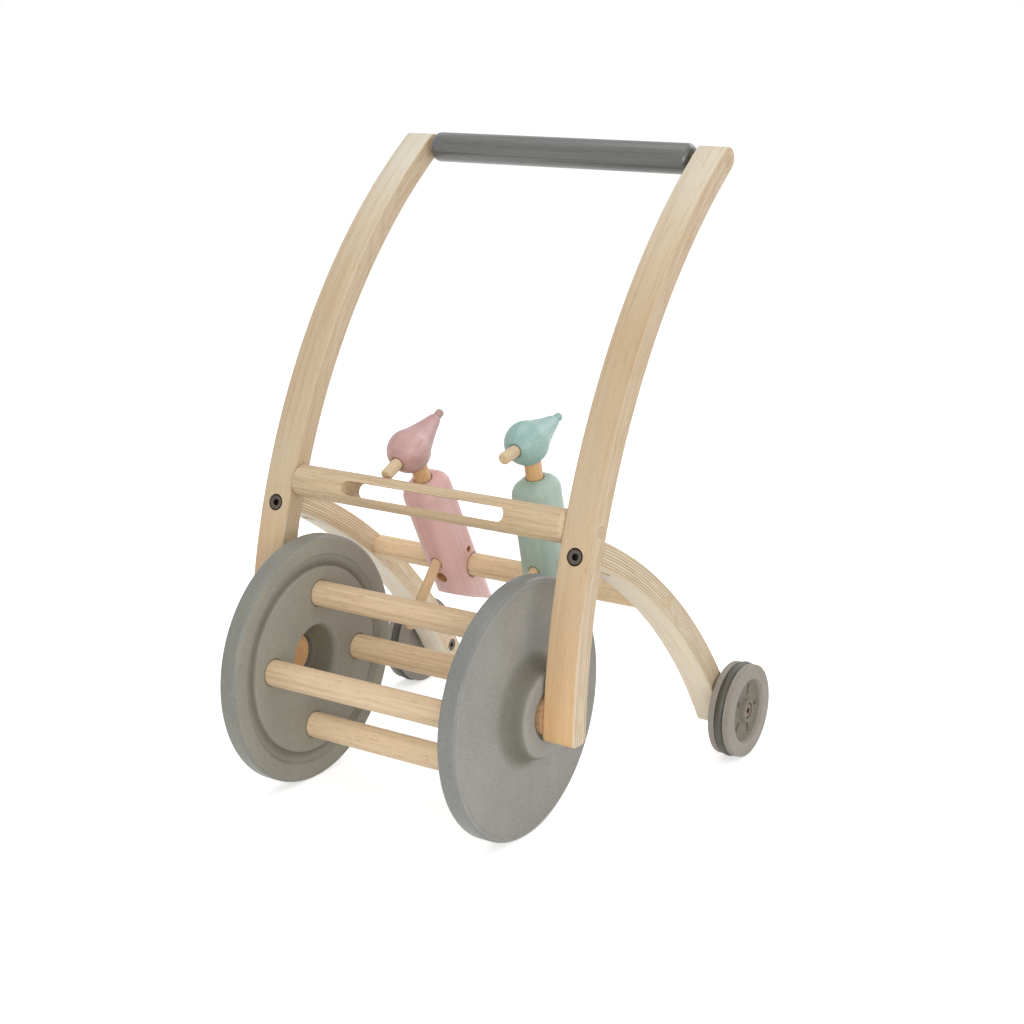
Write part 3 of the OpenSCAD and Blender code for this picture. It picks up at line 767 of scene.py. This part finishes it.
def cut(obj, *cutters):
    for cutter in cutters:
        apply_modifier(obj, "BOOLEAN", operation="DIFFERENCE", object=cutter, solver="EXACT")
        bpy.data.objects.remove(cutter)
    return obj


def ease_edges(obj, width, segments=3, angle=40.0):
    apply_modifier(obj, "BEVEL", width=width * MM, segments=segments, limit_method="ANGLE",
                   angle_limit=math.radians(angle), use_clamp_overlap=True, harden_normals=False)


def mark(obj, kind, test):
    """Picks edges by a test of their two ends, or faces by a test of their middle and normal."""
    choose(obj)
    mesh = obj.data
    for group in (mesh.vertices, mesh.edges, mesh.polygons):
        group.foreach_set("select", [False] * len(group))
    if kind == "EDGE":
        for edge in mesh.edges:
            edge.select = test(*[mesh.vertices[k].co for k in edge.vertices])
    elif kind == "FACE":
        for face in mesh.polygons:
            face.select = test(face.center, face.normal)
    bpy.ops.object.mode_set(mode="EDIT")
    bpy.ops.mesh.select_mode(type=kind)


def new_cube(size, middle=(0.0, 0.0, 0.0)):
    """A block of a size in millimetres round a middle."""
    clear_choice()
    bpy.ops.mesh.primitive_cube_add(size=1.0, location=Vector(middle) * MM)
    obj = bpy.context.object
    obj.scale = Vector(size) * MM
    fix_place(obj)
    return obj


def arc(radius, x, r, start, end, steps):
    """Points of an arc in a turned profile, as radius and distance along the axis."""
    turns = [start + (end - start) * k / steps for k in range(steps + 1)]
    return [(radius + r * cosd(turn), x + r * sind(turn)) for turn in turns]


def shifted(points, x):
    """Profile points moved along the axis."""
    return [(r, x + d) for r, d in points]


def turned(name, profile, centre=(0.0, 0.0), sides=96):
    """A shape turned about a line along X: a ring is drawn out from station to station of the profile."""
    clear_choice()
    r, x = profile[0]
    y, z = centre[0] * MM, centre[1] * MM
    bpy.ops.mesh.primitive_circle_add(vertices=sides, radius=r * MM, fill_type="NOTHING",
                                      location=(x * MM, y, z), rotation=(0.0, math.pi / 2, 0.0))
    obj = bpy.context.object
    obj.name = obj.data.name = name
    fix_place(obj)
    open_mesh(obj, "EDGE")
    for (r0, x0), (r1, x1) in zip(profile, profile[1:]):
        bpy.ops.mesh.extrude_edges_move(TRANSFORM_OT_translate={"value": ((x1 - x0) * MM, 0.0, 0.0)})
        bpy.ops.transform.resize(value=(1.0, r1 / r0, r1 / r0), center_override=(x1 * MM, y, z))
    bpy.ops.mesh.select_all(action="SELECT")
    if profile[0] == profile[-1]:
        bpy.ops.mesh.remove_doubles(threshold=1e-6)
    else:
        bpy.ops.mesh.fill_holes(sides=0)
        bpy.ops.mesh.select_all(action="SELECT")
    bpy.ops.mesh.normals_make_consistent(inside=False)
    close_mesh()
    return obj


def round_end(r, x, e, way, steps=5):
    """The last stations of a bar's end with its corner rounded, towards +X or -X."""
    return arc(r - e, x - way * e, e, 0.0, way * 90.0, steps) + [((r - e) * 0.5, x)]


def bar(name, r, half, e, centre, sides=72):
    left = round_end(r, -half, e, -1)
    return turned(name, left[::-1] + round_end(r, half, e, 1), centre, sides)


def drill(r, length, matrix, sides=48):
    """A plain cutter along +Z from the origin, moved into place."""
    clear_choice()
    bpy.ops.mesh.primitive_cylinder_add(vertices=sides, radius=r * MM, depth=length * MM,
                                        location=(0.0, 0.0, length * MM / 2))
    obj = bpy.context.object
    fix_place(obj)
    return carry(obj, matrix)


def along_x(x, spot):
    """A matrix that lays local Z along +X at a place round the front axle."""
    return Matrix.Translation(at(x, *spot)) @ Matrix.Rotation(math.pi / 2, 4, "Y")


def from_rail(x, angle, radius):
    """A matrix whose Z runs out of the rail's bend, at a radius from the bend's centre."""
    place = Matrix.Translation(at(x, *on_rail(radius, angle)))
    return place @ Matrix.Rotation(math.radians(90.0 - angle), 4, "X")


def axle_line(spot):
    """Where a line along X through a place round the front axle crosses the frame's middle."""
    return AXLE_Y + spot[0], AXLE_Z + spot[1]


MIRROR = Matrix.Scale(-1.0, 4, Vector((1.0, 0.0, 0.0)))


def copy_across(obj, name):
    """A mirrored copy on the other side, with its own mesh."""
    clear_choice()
    other = obj.copy()
    other.data = obj.data.copy()
    other.name = other.data.name = name
    scene.collection.objects.link(other)
    carry(other, MIRROR)
    turn_outwards(other)
    return smooth(other)


def join(first, *others):
    choose(first)
    for other in others:
        other.select_set(True)
    bpy.ops.object.join()
    return first


def finish(obj, body, slot, material, *nodes):
    obj.data.materials.clear()
    obj.data.materials.append(material)
    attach(obj, body)
    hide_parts(*nodes)
    return obj


def dress(material, *nodes):
    """Gives CAD nodes that stay a better material."""
    for node in nodes:
        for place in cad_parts[node].material_slots:
            place.material = material


# Bent boards
def bent_board(name, centre, radial, sweep, steps):
    """A rectangle across the bend at one end, spun about the bend's centre."""
    clear_choice()
    spot = at(RAIL_MID, centre[0] + BEND_R * radial[0], centre[1] + BEND_R * radial[1])
    bpy.ops.mesh.primitive_plane_add(size=1.0, location=spot,
                                     rotation=(math.atan2(radial[1], radial[0]), 0.0, 0.0))
    obj = bpy.context.object
    obj.name = obj.data.name = name
    obj.scale = (RAIL_W * MM, RAIL_T * MM, 1.0)
    fix_place(obj)
    open_mesh(obj, "FACE")
    bpy.ops.mesh.subdivide(number_cuts=1)
    bpy.ops.mesh.spin(steps=steps, angle=math.radians(sweep), center=at(0.0, *centre), axis=(1.0, 0.0, 0.0))
    tidy_mesh()
    return obj


def bend_place(centre, way, point):
    """A point's distance from a bend's centre, and its angle from the front or rear level."""
    spot = point - at(0.0, *centre)
    return math.hypot(spot.y, spot.z) / MM, math.degrees(math.atan2(spot.z, way * spot.y))


def round_corners(obj, centre, way, angle, e):
    """Rounds the two corners of a board's end, seen from the side."""
    def corner(a, b):
        if abs(a.x - b.x) < 1e-4:
            return False
        places = [bend_place(centre, way, p) for p in (a, b)]
        return all(abs(t - angle) < 0.02 and abs(abs(r - BEND_R) - RAIL_T / 2) < 0.05 for r, t in places)
    mark(obj, "EDGE", corner)
    bpy.ops.mesh.bevel(offset=e * MM, segments=6, affect="EDGES")
    close_mesh()


def top_front(centre, normal):
    radius, angle = bend_place(RAIL_C, -1, centre)
    return radius > BEND_R and abs(angle - TOP_ANGLE) < 0.02


def make_rails():
    """Side rails, round at the top, with holes for the dowels and a seat for the bolt's head."""
    rail = bent_board("left_rail", RAIL_C, (-1.0, 0.0), TOP_ANGLE, 48)
    round_corners(rail, RAIL_C, -1, 0.0, RAIL_FOOT_E)
    mark(rail, "FACE", top_front)
    bpy.ops.mesh.spin(steps=16, angle=math.pi, center=at(0.0, *TOP_C), axis=(1.0, 0.0, 0.0))
    tidy_mesh()
    ease_edges(rail, BOARD_EASE)
    cut(rail,
        drill(DOWEL_R + DOWEL_GAP, RAIL_W + 2, along_x(RAIL_X - 1, HANDLE_C)),
        drill(DOWEL_R + DOWEL_GAP, RAIL_W + 2, along_x(RAIL_X - 1, LOG_C)),
        drill(BOLT_HEAD_R + 0.3, 8.0, from_rail(RAIL_MID, BOLT_ANGLE, OUTER_R - BOLT_SINK - BOLT_HEAD_H)))
    smooth(rail)
    finish(copy_across(rail, "right_rail"), "frame", "laminated_wood", laminated_rail, "right_side_rail")
    finish(rail, "frame", "laminated_wood", laminated_rail, "left_side_rail")


def nut_way():
    """A matrix that runs out through a leg's inner face into the cross nut."""
    turn = leg_turn(NUT_C)
    start = INNER_R - 5.0
    spot = at(RAIL_MID, LEG_C[0] + start * math.cos(turn), LEG_C[1] + start * math.sin(turn))
    return Matrix.Translation(spot) @ Matrix.Rotation(turn - math.pi / 2, 4, "X")


def make_legs():
    """Rear legs, cut off along the rails' rear faces."""
    leg = bent_board("left_leg", LEG_C, (cosd(LEG_END), sind(LEG_END)), LEG_END - LEG_START - 6.0, 40)
    round_corners(leg, LEG_C, 1, LEG_END, LEG_FOOT_E)
    ease_edges(leg, BOARD_EASE)
    open_mesh(leg)
    bpy.ops.mesh.bisect(plane_co=at(0.0, *JOINT_C), plane_no=(0.0, -cosd(JOINT_ANGLE), sind(JOINT_ANGLE)),
                        use_fill=True, clear_outer=True)
    tidy_mesh()
    cut(leg,
        drill(TENON_R + DOWEL_GAP, RAIL_W + 2, along_x(RAIL_X - 1, PERCH_C)),
        drill(5.2, 4.8, along_x(RAIL_X - 1, REAR_C)),
        drill(SLEEVE_R + 0.2, 16.0, along_x(RAIL_OUT - SLEEVE_IN - 0.3, REAR_C)),
        drill(NUT_HOLE_R, 21.0, nut_way()))
    smooth(leg)
    finish(copy_across(leg, "right_leg"), "frame", "laminated_wood", right_leg_wood_painted_light, "right_rear_leg")
    finish(leg, "frame", "laminated_wood", left_leg_wood_painted_light, "left_rear_leg")


# Bars across the frame
def make_handle():
    handle = smooth(bar("handle", HANDLE_R, RAIL_X - HANDLE_GAP, HANDLE_E, axle_line(HANDLE_C)))
    finish(handle, "frame", "grey_stained_wood", handle_stain, "handle_bar")


def make_log():
    """The log that the beaks strike, with its round-ended slot."""
    log = bar("log", LOG_R, RAIL_X, LOG_E, axle_line(LOG_C))
    slot_cutter = new_cube((SLOT_LEN, SLOT_H, 3 * LOG_R))
    mark(slot_cutter, "EDGE", lambda a, b: abs(a.z - b.z) > 1e-4)
    bpy.ops.mesh.bevel(offset=SLOT_H / 2 * MM * 0.999, segments=14, affect="EDGES")
    close_mesh()
    carry(slot_cutter, from_rail(0.0, LOG_ANGLE, BEND_R))
    cut(log, slot_cutter)
    ease_edges(log, 0.7, 2, 30.0)
    smooth(log)
    finish(log, "frame", "plain_wood", log_wood, "pecking_log")


def make_perch():
    end = [(TENON_R * 0.5, -RAIL_OUT), (TENON_R, -RAIL_OUT), (TENON_R, -RAIL_X), (PERCH_R, -RAIL_X)]
    profile = end + [(r, -x) for r, x in reversed(end)]
    perch = turned("perch", profile, axle_line(PERCH_C), 72)
    finish(smooth(perch), "frame", "plain_wood", perch_wood_painted_light, "perch_rod")


def make_leg_bolts():
    """Bolts with hex sockets, their heads sunk in the rails' fronts."""
    profile = ([(2.4, -0.5), (4.0, -0.5), (4.3, 0.0), (5.2, 0.0)]
               + arc(BOLT_HEAD_R - 0.6, -0.6, 0.6, 90.0, 0.0, 4)[1:]
               + [(BOLT_HEAD_R, -BOLT_HEAD_H), (BOLT_R, -BOLT_HEAD_H), (BOLT_R, -BOLT_LEN), (1.5, -BOLT_LEN)])
    bolts = []
    for way in (1, -1):
        bolt = turned("leg_bolt", profile, (0.0, 0.0), 48)
        clear_choice()
        bpy.ops.mesh.primitive_cylinder_add(vertices=6, radius=BOLT_KEY_R * MM, depth=6.0 * MM,
                                            rotation=(0.0, math.pi / 2, 0.0))
        key = bpy.context.object
        fix_place(key)
        cut(bolt, key)
        smooth(bolt)
        seat = from_rail(way * RAIL_MID, BOLT_ANGLE, OUTER_R - BOLT_SINK)
        carry(bolt, seat @ Matrix.Rotation(-math.pi / 2, 4, "Y"))
        bolts.append(bolt)
    finish(join(*bolts), "frame", "bronze_metal", bolt_bronze_painted_shade, "leg_bolts")


# Front drum
def wheel_profile():
    """Half the wheel's section: hub recess, inner face with its groove, tread, outer face, hub and bore."""
    bore = BUSH_OUT + 0.05
    step = HUB_FACE - 12.0
    rim = WHEEL_R - WHEEL_EDGE
    recess = [(bore, step), (bore + 0.5, step - 0.8), (bore + 2.5, step - 2.0), (25.2, WHEEL_IN + 3.6)]
    lip = arc(28.5, WHEEL_IN + 2.6, 2.6, 205.0, 270.0, 5)
    groove = [(GROOVE_IN, 0.0), (GROOVE_IN + 0.8, 0.2), (GROOVE_IN + 1.2, 0.8), (GROOVE_IN + 1.6, 2.3),
              (GROOVE_IN + 2.0, 2.8), (GROOVE_IN + 2.8, GROOVE_DEEP), (GROOVE_OUT - 3.8, GROOVE_DEEP),
              (GROOVE_OUT - 2.8, 2.8), (GROOVE_OUT - 2.2, 2.3), (GROOVE_OUT - 1.4, 0.8),
              (GROOVE_OUT - 0.8, 0.2), (GROOVE_OUT, 0.0)]
    tread = (arc(rim, WHEEL_IN + WHEEL_EDGE, WHEEL_EDGE, -90.0, 0.0, 8)
             + arc(rim, WHEEL_OUT - WHEEL_EDGE, WHEEL_EDGE, 0.0, 90.0, 8))
    face = [(rim - 0.6, -0.1), (rim - 1.4, -FACE_SINK), (43.0, -FACE_SINK)]
    fillet = [(40.8, -0.7), (38.6, -0.2), (36.8, 0.9), (35.2, 2.4), (34.1, 4.0), (33.3, 6.0)]
    hub = [(32.6, -5.0), (32.0, -3.4), (31.0, -1.9), (29.6, -0.9), (28.0, -0.3), (26.0, 0.0)]
    mouth = [(bore + 2.2, 0.0), (bore + 1.0, -0.4), (bore + 0.3, -1.2), (bore, -2.2)]
    return (recess + lip + shifted(groove, WHEEL_IN) + tread + shifted(face + fillet, WHEEL_OUT)
            + shifted(hub + mouth, HUB_FACE) + recess[:1])


def make_front_wheels():
    wheel = turned("left_wheel", wheel_profile(), axle_line((0.0, 0.0)), 160)
    cut(wheel, *[drill(ROD_R + 0.22, 11.2, along_x(WHEEL_IN - 1.0, spot), 64) for spot in rod_places()])
    smooth(wheel, 30.0)
    finish(copy_across(wheel, "right_wheel"), "drum", "grey_composite", right_grey_painted_light, "right_front_wheel")
    finish(wheel, "drum", "grey_composite", left_grey_painted_shade, "left_front_wheel")


def make_drum_rods():
    woods = {"rear": inner_rod_wood_painted_light, "top": rod_wood, "front": rod_wood, "bottom": inner_rod_wood_painted_light}
    for spot, (name, wood) in zip(rod_places(), woods.items()):
        rod = smooth(bar("rod_" + name, ROD_R, WHEEL_IN + ROD_SEAT, 0.4, axle_line(spot), 64))
        finish(rod, "drum", "plain_wood", wood, "drum_rod_" + name)


def tooth(centre, normal):
    """Every other face of the bush's inner end."""
    sides = 2 * BUSH_TEETH
    turn = math.degrees(math.atan2(centre.z - AXLE_Z * MM, centre.y - AXLE_Y * MM)) % 360.0
    inner_end = abs(normal.x) > 0.9 and centre.x < (HUB_FACE - 8.0) * MM
    return inner_end and int(turn * sides / 360.0) % 2 == 0


def make_bushes():
    """Lining rings in the wheels' bores, toothed at their inner ends."""
    start = HUB_FACE - 11.5
    end = HUB_FACE - 2.0
    profile = [(BUSH_IN, start), (BUSH_OUT, start), (BUSH_OUT, end), (BUSH_IN, end), (BUSH_IN, start)]
    bush = turned("left_bush", profile, axle_line((0.0, 0.0)), 2 * BUSH_TEETH)
    mark(bush, "FACE", tooth)
    bpy.ops.mesh.extrude_faces_move(TRANSFORM_OT_shrink_fatten={"value": TOOTH_DEEP * MM})
    close_mesh()
    smooth(bush)
    finish(copy_across(bush, "right_bush"), "drum", "bush_plastic", bush_plastic, "right_hub_bush")
    finish(bush, "drum", "bush_plastic", bush_plastic, "left_hub_bush")


# Rear wheels
def rear_profile():
    """Half the rear wheel's section: inner face, two flanges round the ring's groove, dish, boss and bore."""
    bore = SLEEVE_R + 0.3
    pocket = SLEEVE_HEAD_R + 0.4
    flange = REAR_R - 1.0
    edge = 1.1
    wall = RING_R + RING_GAP
    inner = [(bore, -1.5), (BOSS_R, -1.5), (BOSS_R + 0.6, 2.5), (DISH_R - 1.0, 2.5), (DISH_R + 0.2, 0.7),
             (DISH_R + 1.4, 0.0)]
    near_wall = [(flange, -wall - 0.3), (flange - 0.35, -wall), (RING_C, -wall)]
    far_wall = [(r, -d) for r, d in reversed(near_wall)]
    dish = [(DISH_R + 0.9, 0.0), (DISH_R + 0.3, -0.15), (DISH_R, -0.6), (DISH_R - 0.5, -2.8),
            (DISH_R - 0.9, -3.5), (DISH_R - 1.7, -3.9), (DISH_R - 2.8, -DISH_DEEP)]
    boss = [(BOSS_R + 2.4, -DISH_DEEP), (BOSS_R + 1.4, -3.8), (BOSS_R + 0.7, -3.2), (BOSS_R + 0.3, -1.4),
            (BOSS_R - 0.1, -0.7), (BOSS_R - 0.8, -0.4)]
    mouth = [(pocket + 0.5, -0.4), (pocket + 0.1, -0.6), (pocket, -1.0)]
    seat = SLEEVE_FACE - SLEEVE_HEAD_H - 0.3
    return (shifted(inner, REAR_INNER)
            + arc(flange - edge, REAR_INNER + edge, edge, -90.0, 0.0, 5)
            + shifted(near_wall, RING_X)
            + arc(RING_C, RING_X, wall, 270.0, 90.0, 12)[1:-1]
            + shifted(far_wall, RING_X)
            + arc(flange - edge, REAR_FACE - edge, edge, 0.0, 90.0, 5)
            + shifted(dish + boss + mouth, REAR_FACE)
            + [(pocket, seat), (bore, seat), (bore, REAR_INNER - 1.5)])


def make_rear_wheels():
    """Rear wheels, with shallow slits round the boss."""
    rear = turned("left_roller", rear_profile(), axle_line(REAR_C), 128)
    for k in range(SLITS):
        slit = new_cube((8.0, 3.6, 9.0), (REAR_FACE - 2.0, 0.0, 16.3))
        ease_edges(slit, 0.8, 3)
        spin = Matrix.Rotation(math.radians(360.0 / SLITS * k + SLIT_PHASE), 4, "X")
        carry(slit, Matrix.Translation(at(0.0, *REAR_C)) @ spin)
        cut(rear, slit)
    smooth(rear, 32.0)
    finish(copy_across(rear, "right_roller"), "right_rear_roller", "grey_composite", rear_grey_painted_shade,
           "right_rear_wheel")
    finish(rear, "left_rear_roller", "grey_composite", rear_grey_painted_shade, "left_rear_wheel")


def make_tyre_rings():
    circle = arc(RING_C, RING_X, RING_R, 0.0, 360.0, 24)
    circle[-1] = circle[0]
    ring = turned("left_ring", circle, axle_line(REAR_C), 128)
    smooth(ring, 60.0)
    finish(copy_across(ring, "right_ring"), "right_rear_roller", "ring_rubber", ring_rubber,
           "right_tyre_ring")
    finish(ring, "left_rear_roller", "ring_rubber", ring_rubber, "left_tyre_ring")


def make_sleeves():
    """Sleeve nuts that the rear wheels turn on, with hex sockets in their heads."""
    head = SLEEVE_FACE - SLEEVE_HEAD_H
    end = RAIL_OUT - SLEEVE_IN
    profile = ([(2.4, SLEEVE_FACE), (4.9, SLEEVE_FACE)]
               + arc(SLEEVE_HEAD_R - 0.7, SLEEVE_FACE - 0.7, 0.7, 90.0, 0.0, 4)
               + [(SLEEVE_HEAD_R, head), (SLEEVE_R, head), (SLEEVE_R, end), (2.0, end)])
    sleeves = []
    for way in (1, -1):
        sleeve = turned("axle_sleeve", profile, axle_line(REAR_C), 48)
        cut(sleeve, drill(BOLT_KEY_R, 5.0, along_x(SLEEVE_FACE - 2.8, REAR_C), 6))
        if way < 0:
            carry(sleeve, MIRROR)
            turn_outwards(sleeve)
        sleeves.append(smooth(sleeve))
    finish(join(*sleeves), "frame", "bronze_metal", warm_bronze, "rear_axle_sleeves")


# Birds, in their own frame: Y to the back, Z up, the perch along X through the origin
FORWARD = Matrix.Rotation(-math.pi / 2, 4, "Z")
BACKWARD = Matrix.Rotation(math.pi / 2, 4, "Z")
UPWARD = Matrix.Rotation(-math.pi / 2, 4, "Y")


def in_bird(y, z):
    return Matrix.Translation(Vector((0.0, y, z)) * MM)


def peg_way(h):
    """Local X runs out of the body's front along the peg's line."""
    return in_bird(-BIRD_FRONT, h) @ Matrix.Rotation(math.radians(PEG_DOWN), 4, "X") @ FORWARD


BEAK_WAY = in_bird(-HEAD_F, HEAD_UP) @ Matrix.Rotation(-math.radians(BEAK_TILT), 4, "X") @ FORWARD
HEAD_WAY = in_bird(0.0, HEAD_UP) @ FORWARD


def hole(r, start, length, matrix):
    """A cutter along local X from a distance along it."""
    shift = Matrix.Translation((start * MM, 0.0, 0.0))
    return drill(r, length, matrix @ shift @ Matrix.Rotation(math.pi / 2, 4, "Y"))


def bird_body(name):
    """A block with round corners and crown, cut off on a slope below, with its five holes."""
    low = -60.0
    obj = new_cube((BIRD_W, BIRD_FRONT + BIRD_BACK, BODY_TOP - low),
                   (0.0, (BIRD_BACK - BIRD_FRONT) / 2, (low + BODY_TOP) / 2))
    obj.name = obj.data.name = name
    mark(obj, "EDGE", lambda a, b: abs(a.z - b.z) > 1e-3)
    bpy.ops.mesh.bevel(offset=BODY_CORNER * MM, segments=12, affect="EDGES")
    close_mesh()
    mark(obj, "EDGE", lambda a, b: min(a.z, b.z) > (BODY_TOP - 0.01) * MM)
    bpy.ops.mesh.bevel(offset=BODY_CROWN * MM, segments=10, affect="EDGES", clamp_overlap=True)
    close_mesh()
    open_mesh(obj)
    bpy.ops.mesh.bisect(plane_co=Vector((0.0, -BIRD_FRONT, TAIL_FRONT)) * MM,
                        plane_no=(0.0, TAIL_BACK - TAIL_FRONT, -(BIRD_FRONT + BIRD_BACK)),
                        use_fill=True, clear_outer=True)
    tidy_mesh()
    ease_edges(obj, 1.2, 3, 45.0)
    cut(obj,
        hole(PERCH_R + 0.5, -BIRD_W, 2 * BIRD_W, Matrix.Identity(4)),
        hole(NECK_R + 0.25, 0.0, 20.0, in_bird(-NECK_F, BODY_TOP - NECK_SEAT - SEAT_GAP) @ UPWARD),
        hole(PEG_R + SNUG, -PEG_SEAT - SEAT_GAP, 22.0, peg_way(PEG_H)),
        hole(PEG_R + 0.25, -SPARE_DEEP, 15.0, peg_way(SPARE_H)),
        hole(PIN_R, BIRD_W / 2 - 8.0, 12.0, in_bird(0.0, PIN_H)))
    return smooth(obj, 32.0)


def bird_head(name):
    """A ball that tapers in a hollow curve to the crest, with holes for the neck, the beak and the crest."""
    taper = [(14.3, -0.1), (13.6, -1.5), (12.7, -3.8), (11.9, -6.0), (10.9, -9.0), (9.9, -12.0), (8.9, -15.0),
             (8.0, -18.0), (7.1, -21.0), (6.3, -24.0), (5.5, -27.0), (4.9, -29.2), (4.6, -30.0), (4.2, -30.4)]
    profile = ([(2.0, HEAD_F + HEAD_R - 0.15)] + arc(0.0, HEAD_F, HEAD_R, 80.0, -24.0, 20) + taper
               + [(3.8, CREST_F - 1.0), (1.5, CREST_F - 1.0)])
    head = carry(turned(name, profile, (0.0, 0.0), 72), HEAD_WAY)
    neck_end = HEAD_UP - NECK_TOP + SEAT_GAP
    cut(head,
        hole(NECK_R + SNUG, 0.0, neck_end - BODY_TOP, in_bird(-NECK_F, BODY_TOP) @ UPWARD),
        hole(BEAK_R + SNUG, BEAK_ROOT - SEAT_GAP, 40.0, BEAK_WAY),
        hole(CREST_R + SNUG, 0.0, 20.0, in_bird(-(CREST_F + CREST_SEAT + SEAT_GAP), HEAD_UP) @ BACKWARD))
    return smooth(head, 32.0)


def bird_dowels():
    """The profiles of a bird's turned pieces, and the ways that they point."""
    neck_low = BODY_TOP - NECK_SEAT
    neck_high = HEAD_UP - NECK_TOP
    crest_in = CREST_F + CREST_SEAT
    crest_tip = CREST_F - CREST_LEN
    neck = [(3.0, neck_low), (NECK_R, neck_low), (NECK_R, neck_high), (3.0, neck_high)]
    crest = ([(1.6, crest_in), (CREST_R, crest_in)]
             + arc(CREST_R - 1.5, crest_tip + 1.5, 1.5, 0.0, -90.0, 5) + [(0.8, crest_tip)])
    beak = ([(2.0, BEAK_ROOT), (BEAK_R, BEAK_ROOT)]
            + arc(BEAK_R - BEAK_E, BEAK_LEN - BEAK_E, BEAK_E, 0.0, 90.0, 6) + [(1.1, BEAK_LEN)])
    peg = [(2.0, -PEG_SEAT), (PEG_R, -PEG_SEAT)] + arc(0.0, PEG_LEN - PEG_R, PEG_R, 0.0, 84.0, 9)
    return {"neck": (neck, in_bird(-NECK_F, 0.0) @ UPWARD), "crest": (crest, HEAD_WAY),
            "beak": (beak, BEAK_WAY), "peg": (peg, peg_way(PEG_H))}


def make_bird(colour, x, lean, tones):
    body = colour + "_bird"
    stand = Matrix.Translation(at(x, *PERCH_C)) @ Matrix.Rotation(math.radians(lean), 4, "X")
    woods = {
        "crest": bird_wood(colour + "_crest", lean, tones["crest"], "head"),
        "head": bird_wood(colour + "_head", lean, tones["head"], "head", x, head_marks),
        "body": bird_wood(colour + "_body", lean, tones["body"], "up", x, body_marks),
        "beak": bird_wood(colour + "_beak", lean, BEAK_TONES, "head"),
        "peg": bird_wood(colour + "_peg", lean, PEG_TONES, "head"),
        "neck": bird_wood(colour + "_neck", lean, NECK_TONES, "up"),
    }
    stained = "%s_stained_wood" % colour
    finish(carry(bird_body(colour + "_body"), stand), body, stained, woods["body"], body + "_body")
    finish(carry(bird_head(colour + "_head"), stand), body, stained, woods["head"], body + "_head")
    for part, (profile, way) in bird_dowels().items():
        piece = smooth(turned(colour + "_" + part, profile, (0.0, 0.0), 56), 40.0)
        carry(piece, stand @ way)
        slot = "dark_%s_wood" % colour if part == "crest" else "dowel_wood"
        finish(piece, body, slot, woods[part], body + "_" + part)


make_rails()
make_legs()
make_handle()
make_log()
make_perch()
make_leg_bolts()
make_front_wheels()
make_drum_rods()
make_bushes()
make_rear_wheels()
make_tyre_rings()
make_sleeves()
make_bird("pink", -BIRD_X, PINK_LEAN, PINK_TONES)
make_bird("green", BIRD_X, GREEN_LEAN, GREEN_TONES)

# Dowels, stubs and fasteners that stay as the frame has them
dress(plug_wood, "handle_dowels", "log_dowels")
dress(left_stub_wood_painted_shade, "left_axle_stub")
dress(right_stub_wood_painted_light, "right_axle_stub")
dress(nut_steel, "leg_barrel_nuts")
dress(bronze, "rear_axle_bolts")

# Floor, light and camera
FLOOR_SIZE = 60.0
FLOOR_TONE = 0.92
FLOOR_GLOW = 0.55
WORLD_LIGHT = 0.52
WORLD_SEEN = 1.0
LAMP_AIM = (0.0, 0.0, 0.2)
CAMERA_SPOT = (0.74195, -1.12348, 0.5436)
CAMERA_AZ = 33.57
CAMERA_EL = 11.83
CAMERA_ROLL = 0.6
CAMERA_LENS = 65.99
CAMERA_SENSOR = 36.0
CAMERA_SHIFT = (0.0366, -0.0797)


def lay_floor():
    """A pale floor that glows to white where it is seen, and still takes shadows."""
    clear_choice()
    bpy.ops.mesh.primitive_plane_add(size=FLOOR_SIZE, location=(0.0, 0.0, 0.0))
    floor = bpy.context.object
    floor.name = "floor"
    board = new_board("floor_white")
    board.set(base_color=grey(FLOOR_TONE), roughness=0.9, emission_strength=1.0)
    board.shine(0.0)
    board.set(emission_color=board.mix(board.seen(), grey(0.0), grey(FLOOR_GLOW)))
    floor.data.materials.append(board.owner)


def light_world():
    """A white world, which lights the object less than it shows."""
    scene.world = bpy.data.worlds.new("studio")
    sky = Board(scene.world, "Background")
    strength = sky.node("ShaderNodeMapRange", {}, {0: sky.seen(), 3: WORLD_LIGHT, 4: WORLD_SEEN})
    sky.set(color=grey(1.0), strength=strength)


def lamp(name, spot, size, watts):
    data = bpy.data.lights.new(name, "AREA")
    data.shape = "DISK"
    data.size = size
    data.energy = watts
    obj = bpy.data.objects.new(name, data)
    scene.collection.objects.link(obj)
    obj.location = spot
    obj.rotation_euler = (Vector(LAMP_AIM) - Vector(spot)).to_track_quat("-Z", "Y").to_euler()


def place_camera():
    across = Vector((cosd(CAMERA_AZ), sind(CAMERA_AZ), 0.0))
    ahead = Vector((-sind(CAMERA_AZ) * cosd(CAMERA_EL), cosd(CAMERA_AZ) * cosd(CAMERA_EL), -sind(CAMERA_EL)))
    above = across.cross(ahead)
    right = across * cosd(CAMERA_ROLL) + above * sind(CAMERA_ROLL)
    up = above * cosd(CAMERA_ROLL) - across * sind(CAMERA_ROLL)
    lens = bpy.data.cameras.new("camera")
    lens.sensor_width = CAMERA_SENSOR
    lens.lens = CAMERA_LENS
    lens.shift_x, lens.shift_y = CAMERA_SHIFT
    camera = bpy.data.objects.new("camera", lens)
    scene.collection.objects.link(camera)
    turn = Matrix((right, up, -ahead)).transposed().to_4x4()
    camera.matrix_world = Matrix.Translation(CAMERA_SPOT) @ turn
    scene.camera = camera


lay_floor()
light_world()
lamp("top", (0.0, -0.1, 2.4), 2.4, 16.0)
lamp("back", (0.5, 1.9, 1.4), 1.6, 12.0)
lamp("front", (1.05, -1.7, 0.55), 1.2, 13.0)
lamp("fill", (2.0, -0.7, 0.6), 1.8, 8.0)
place_camera()
scene.view_settings.view_transform = "Standard"
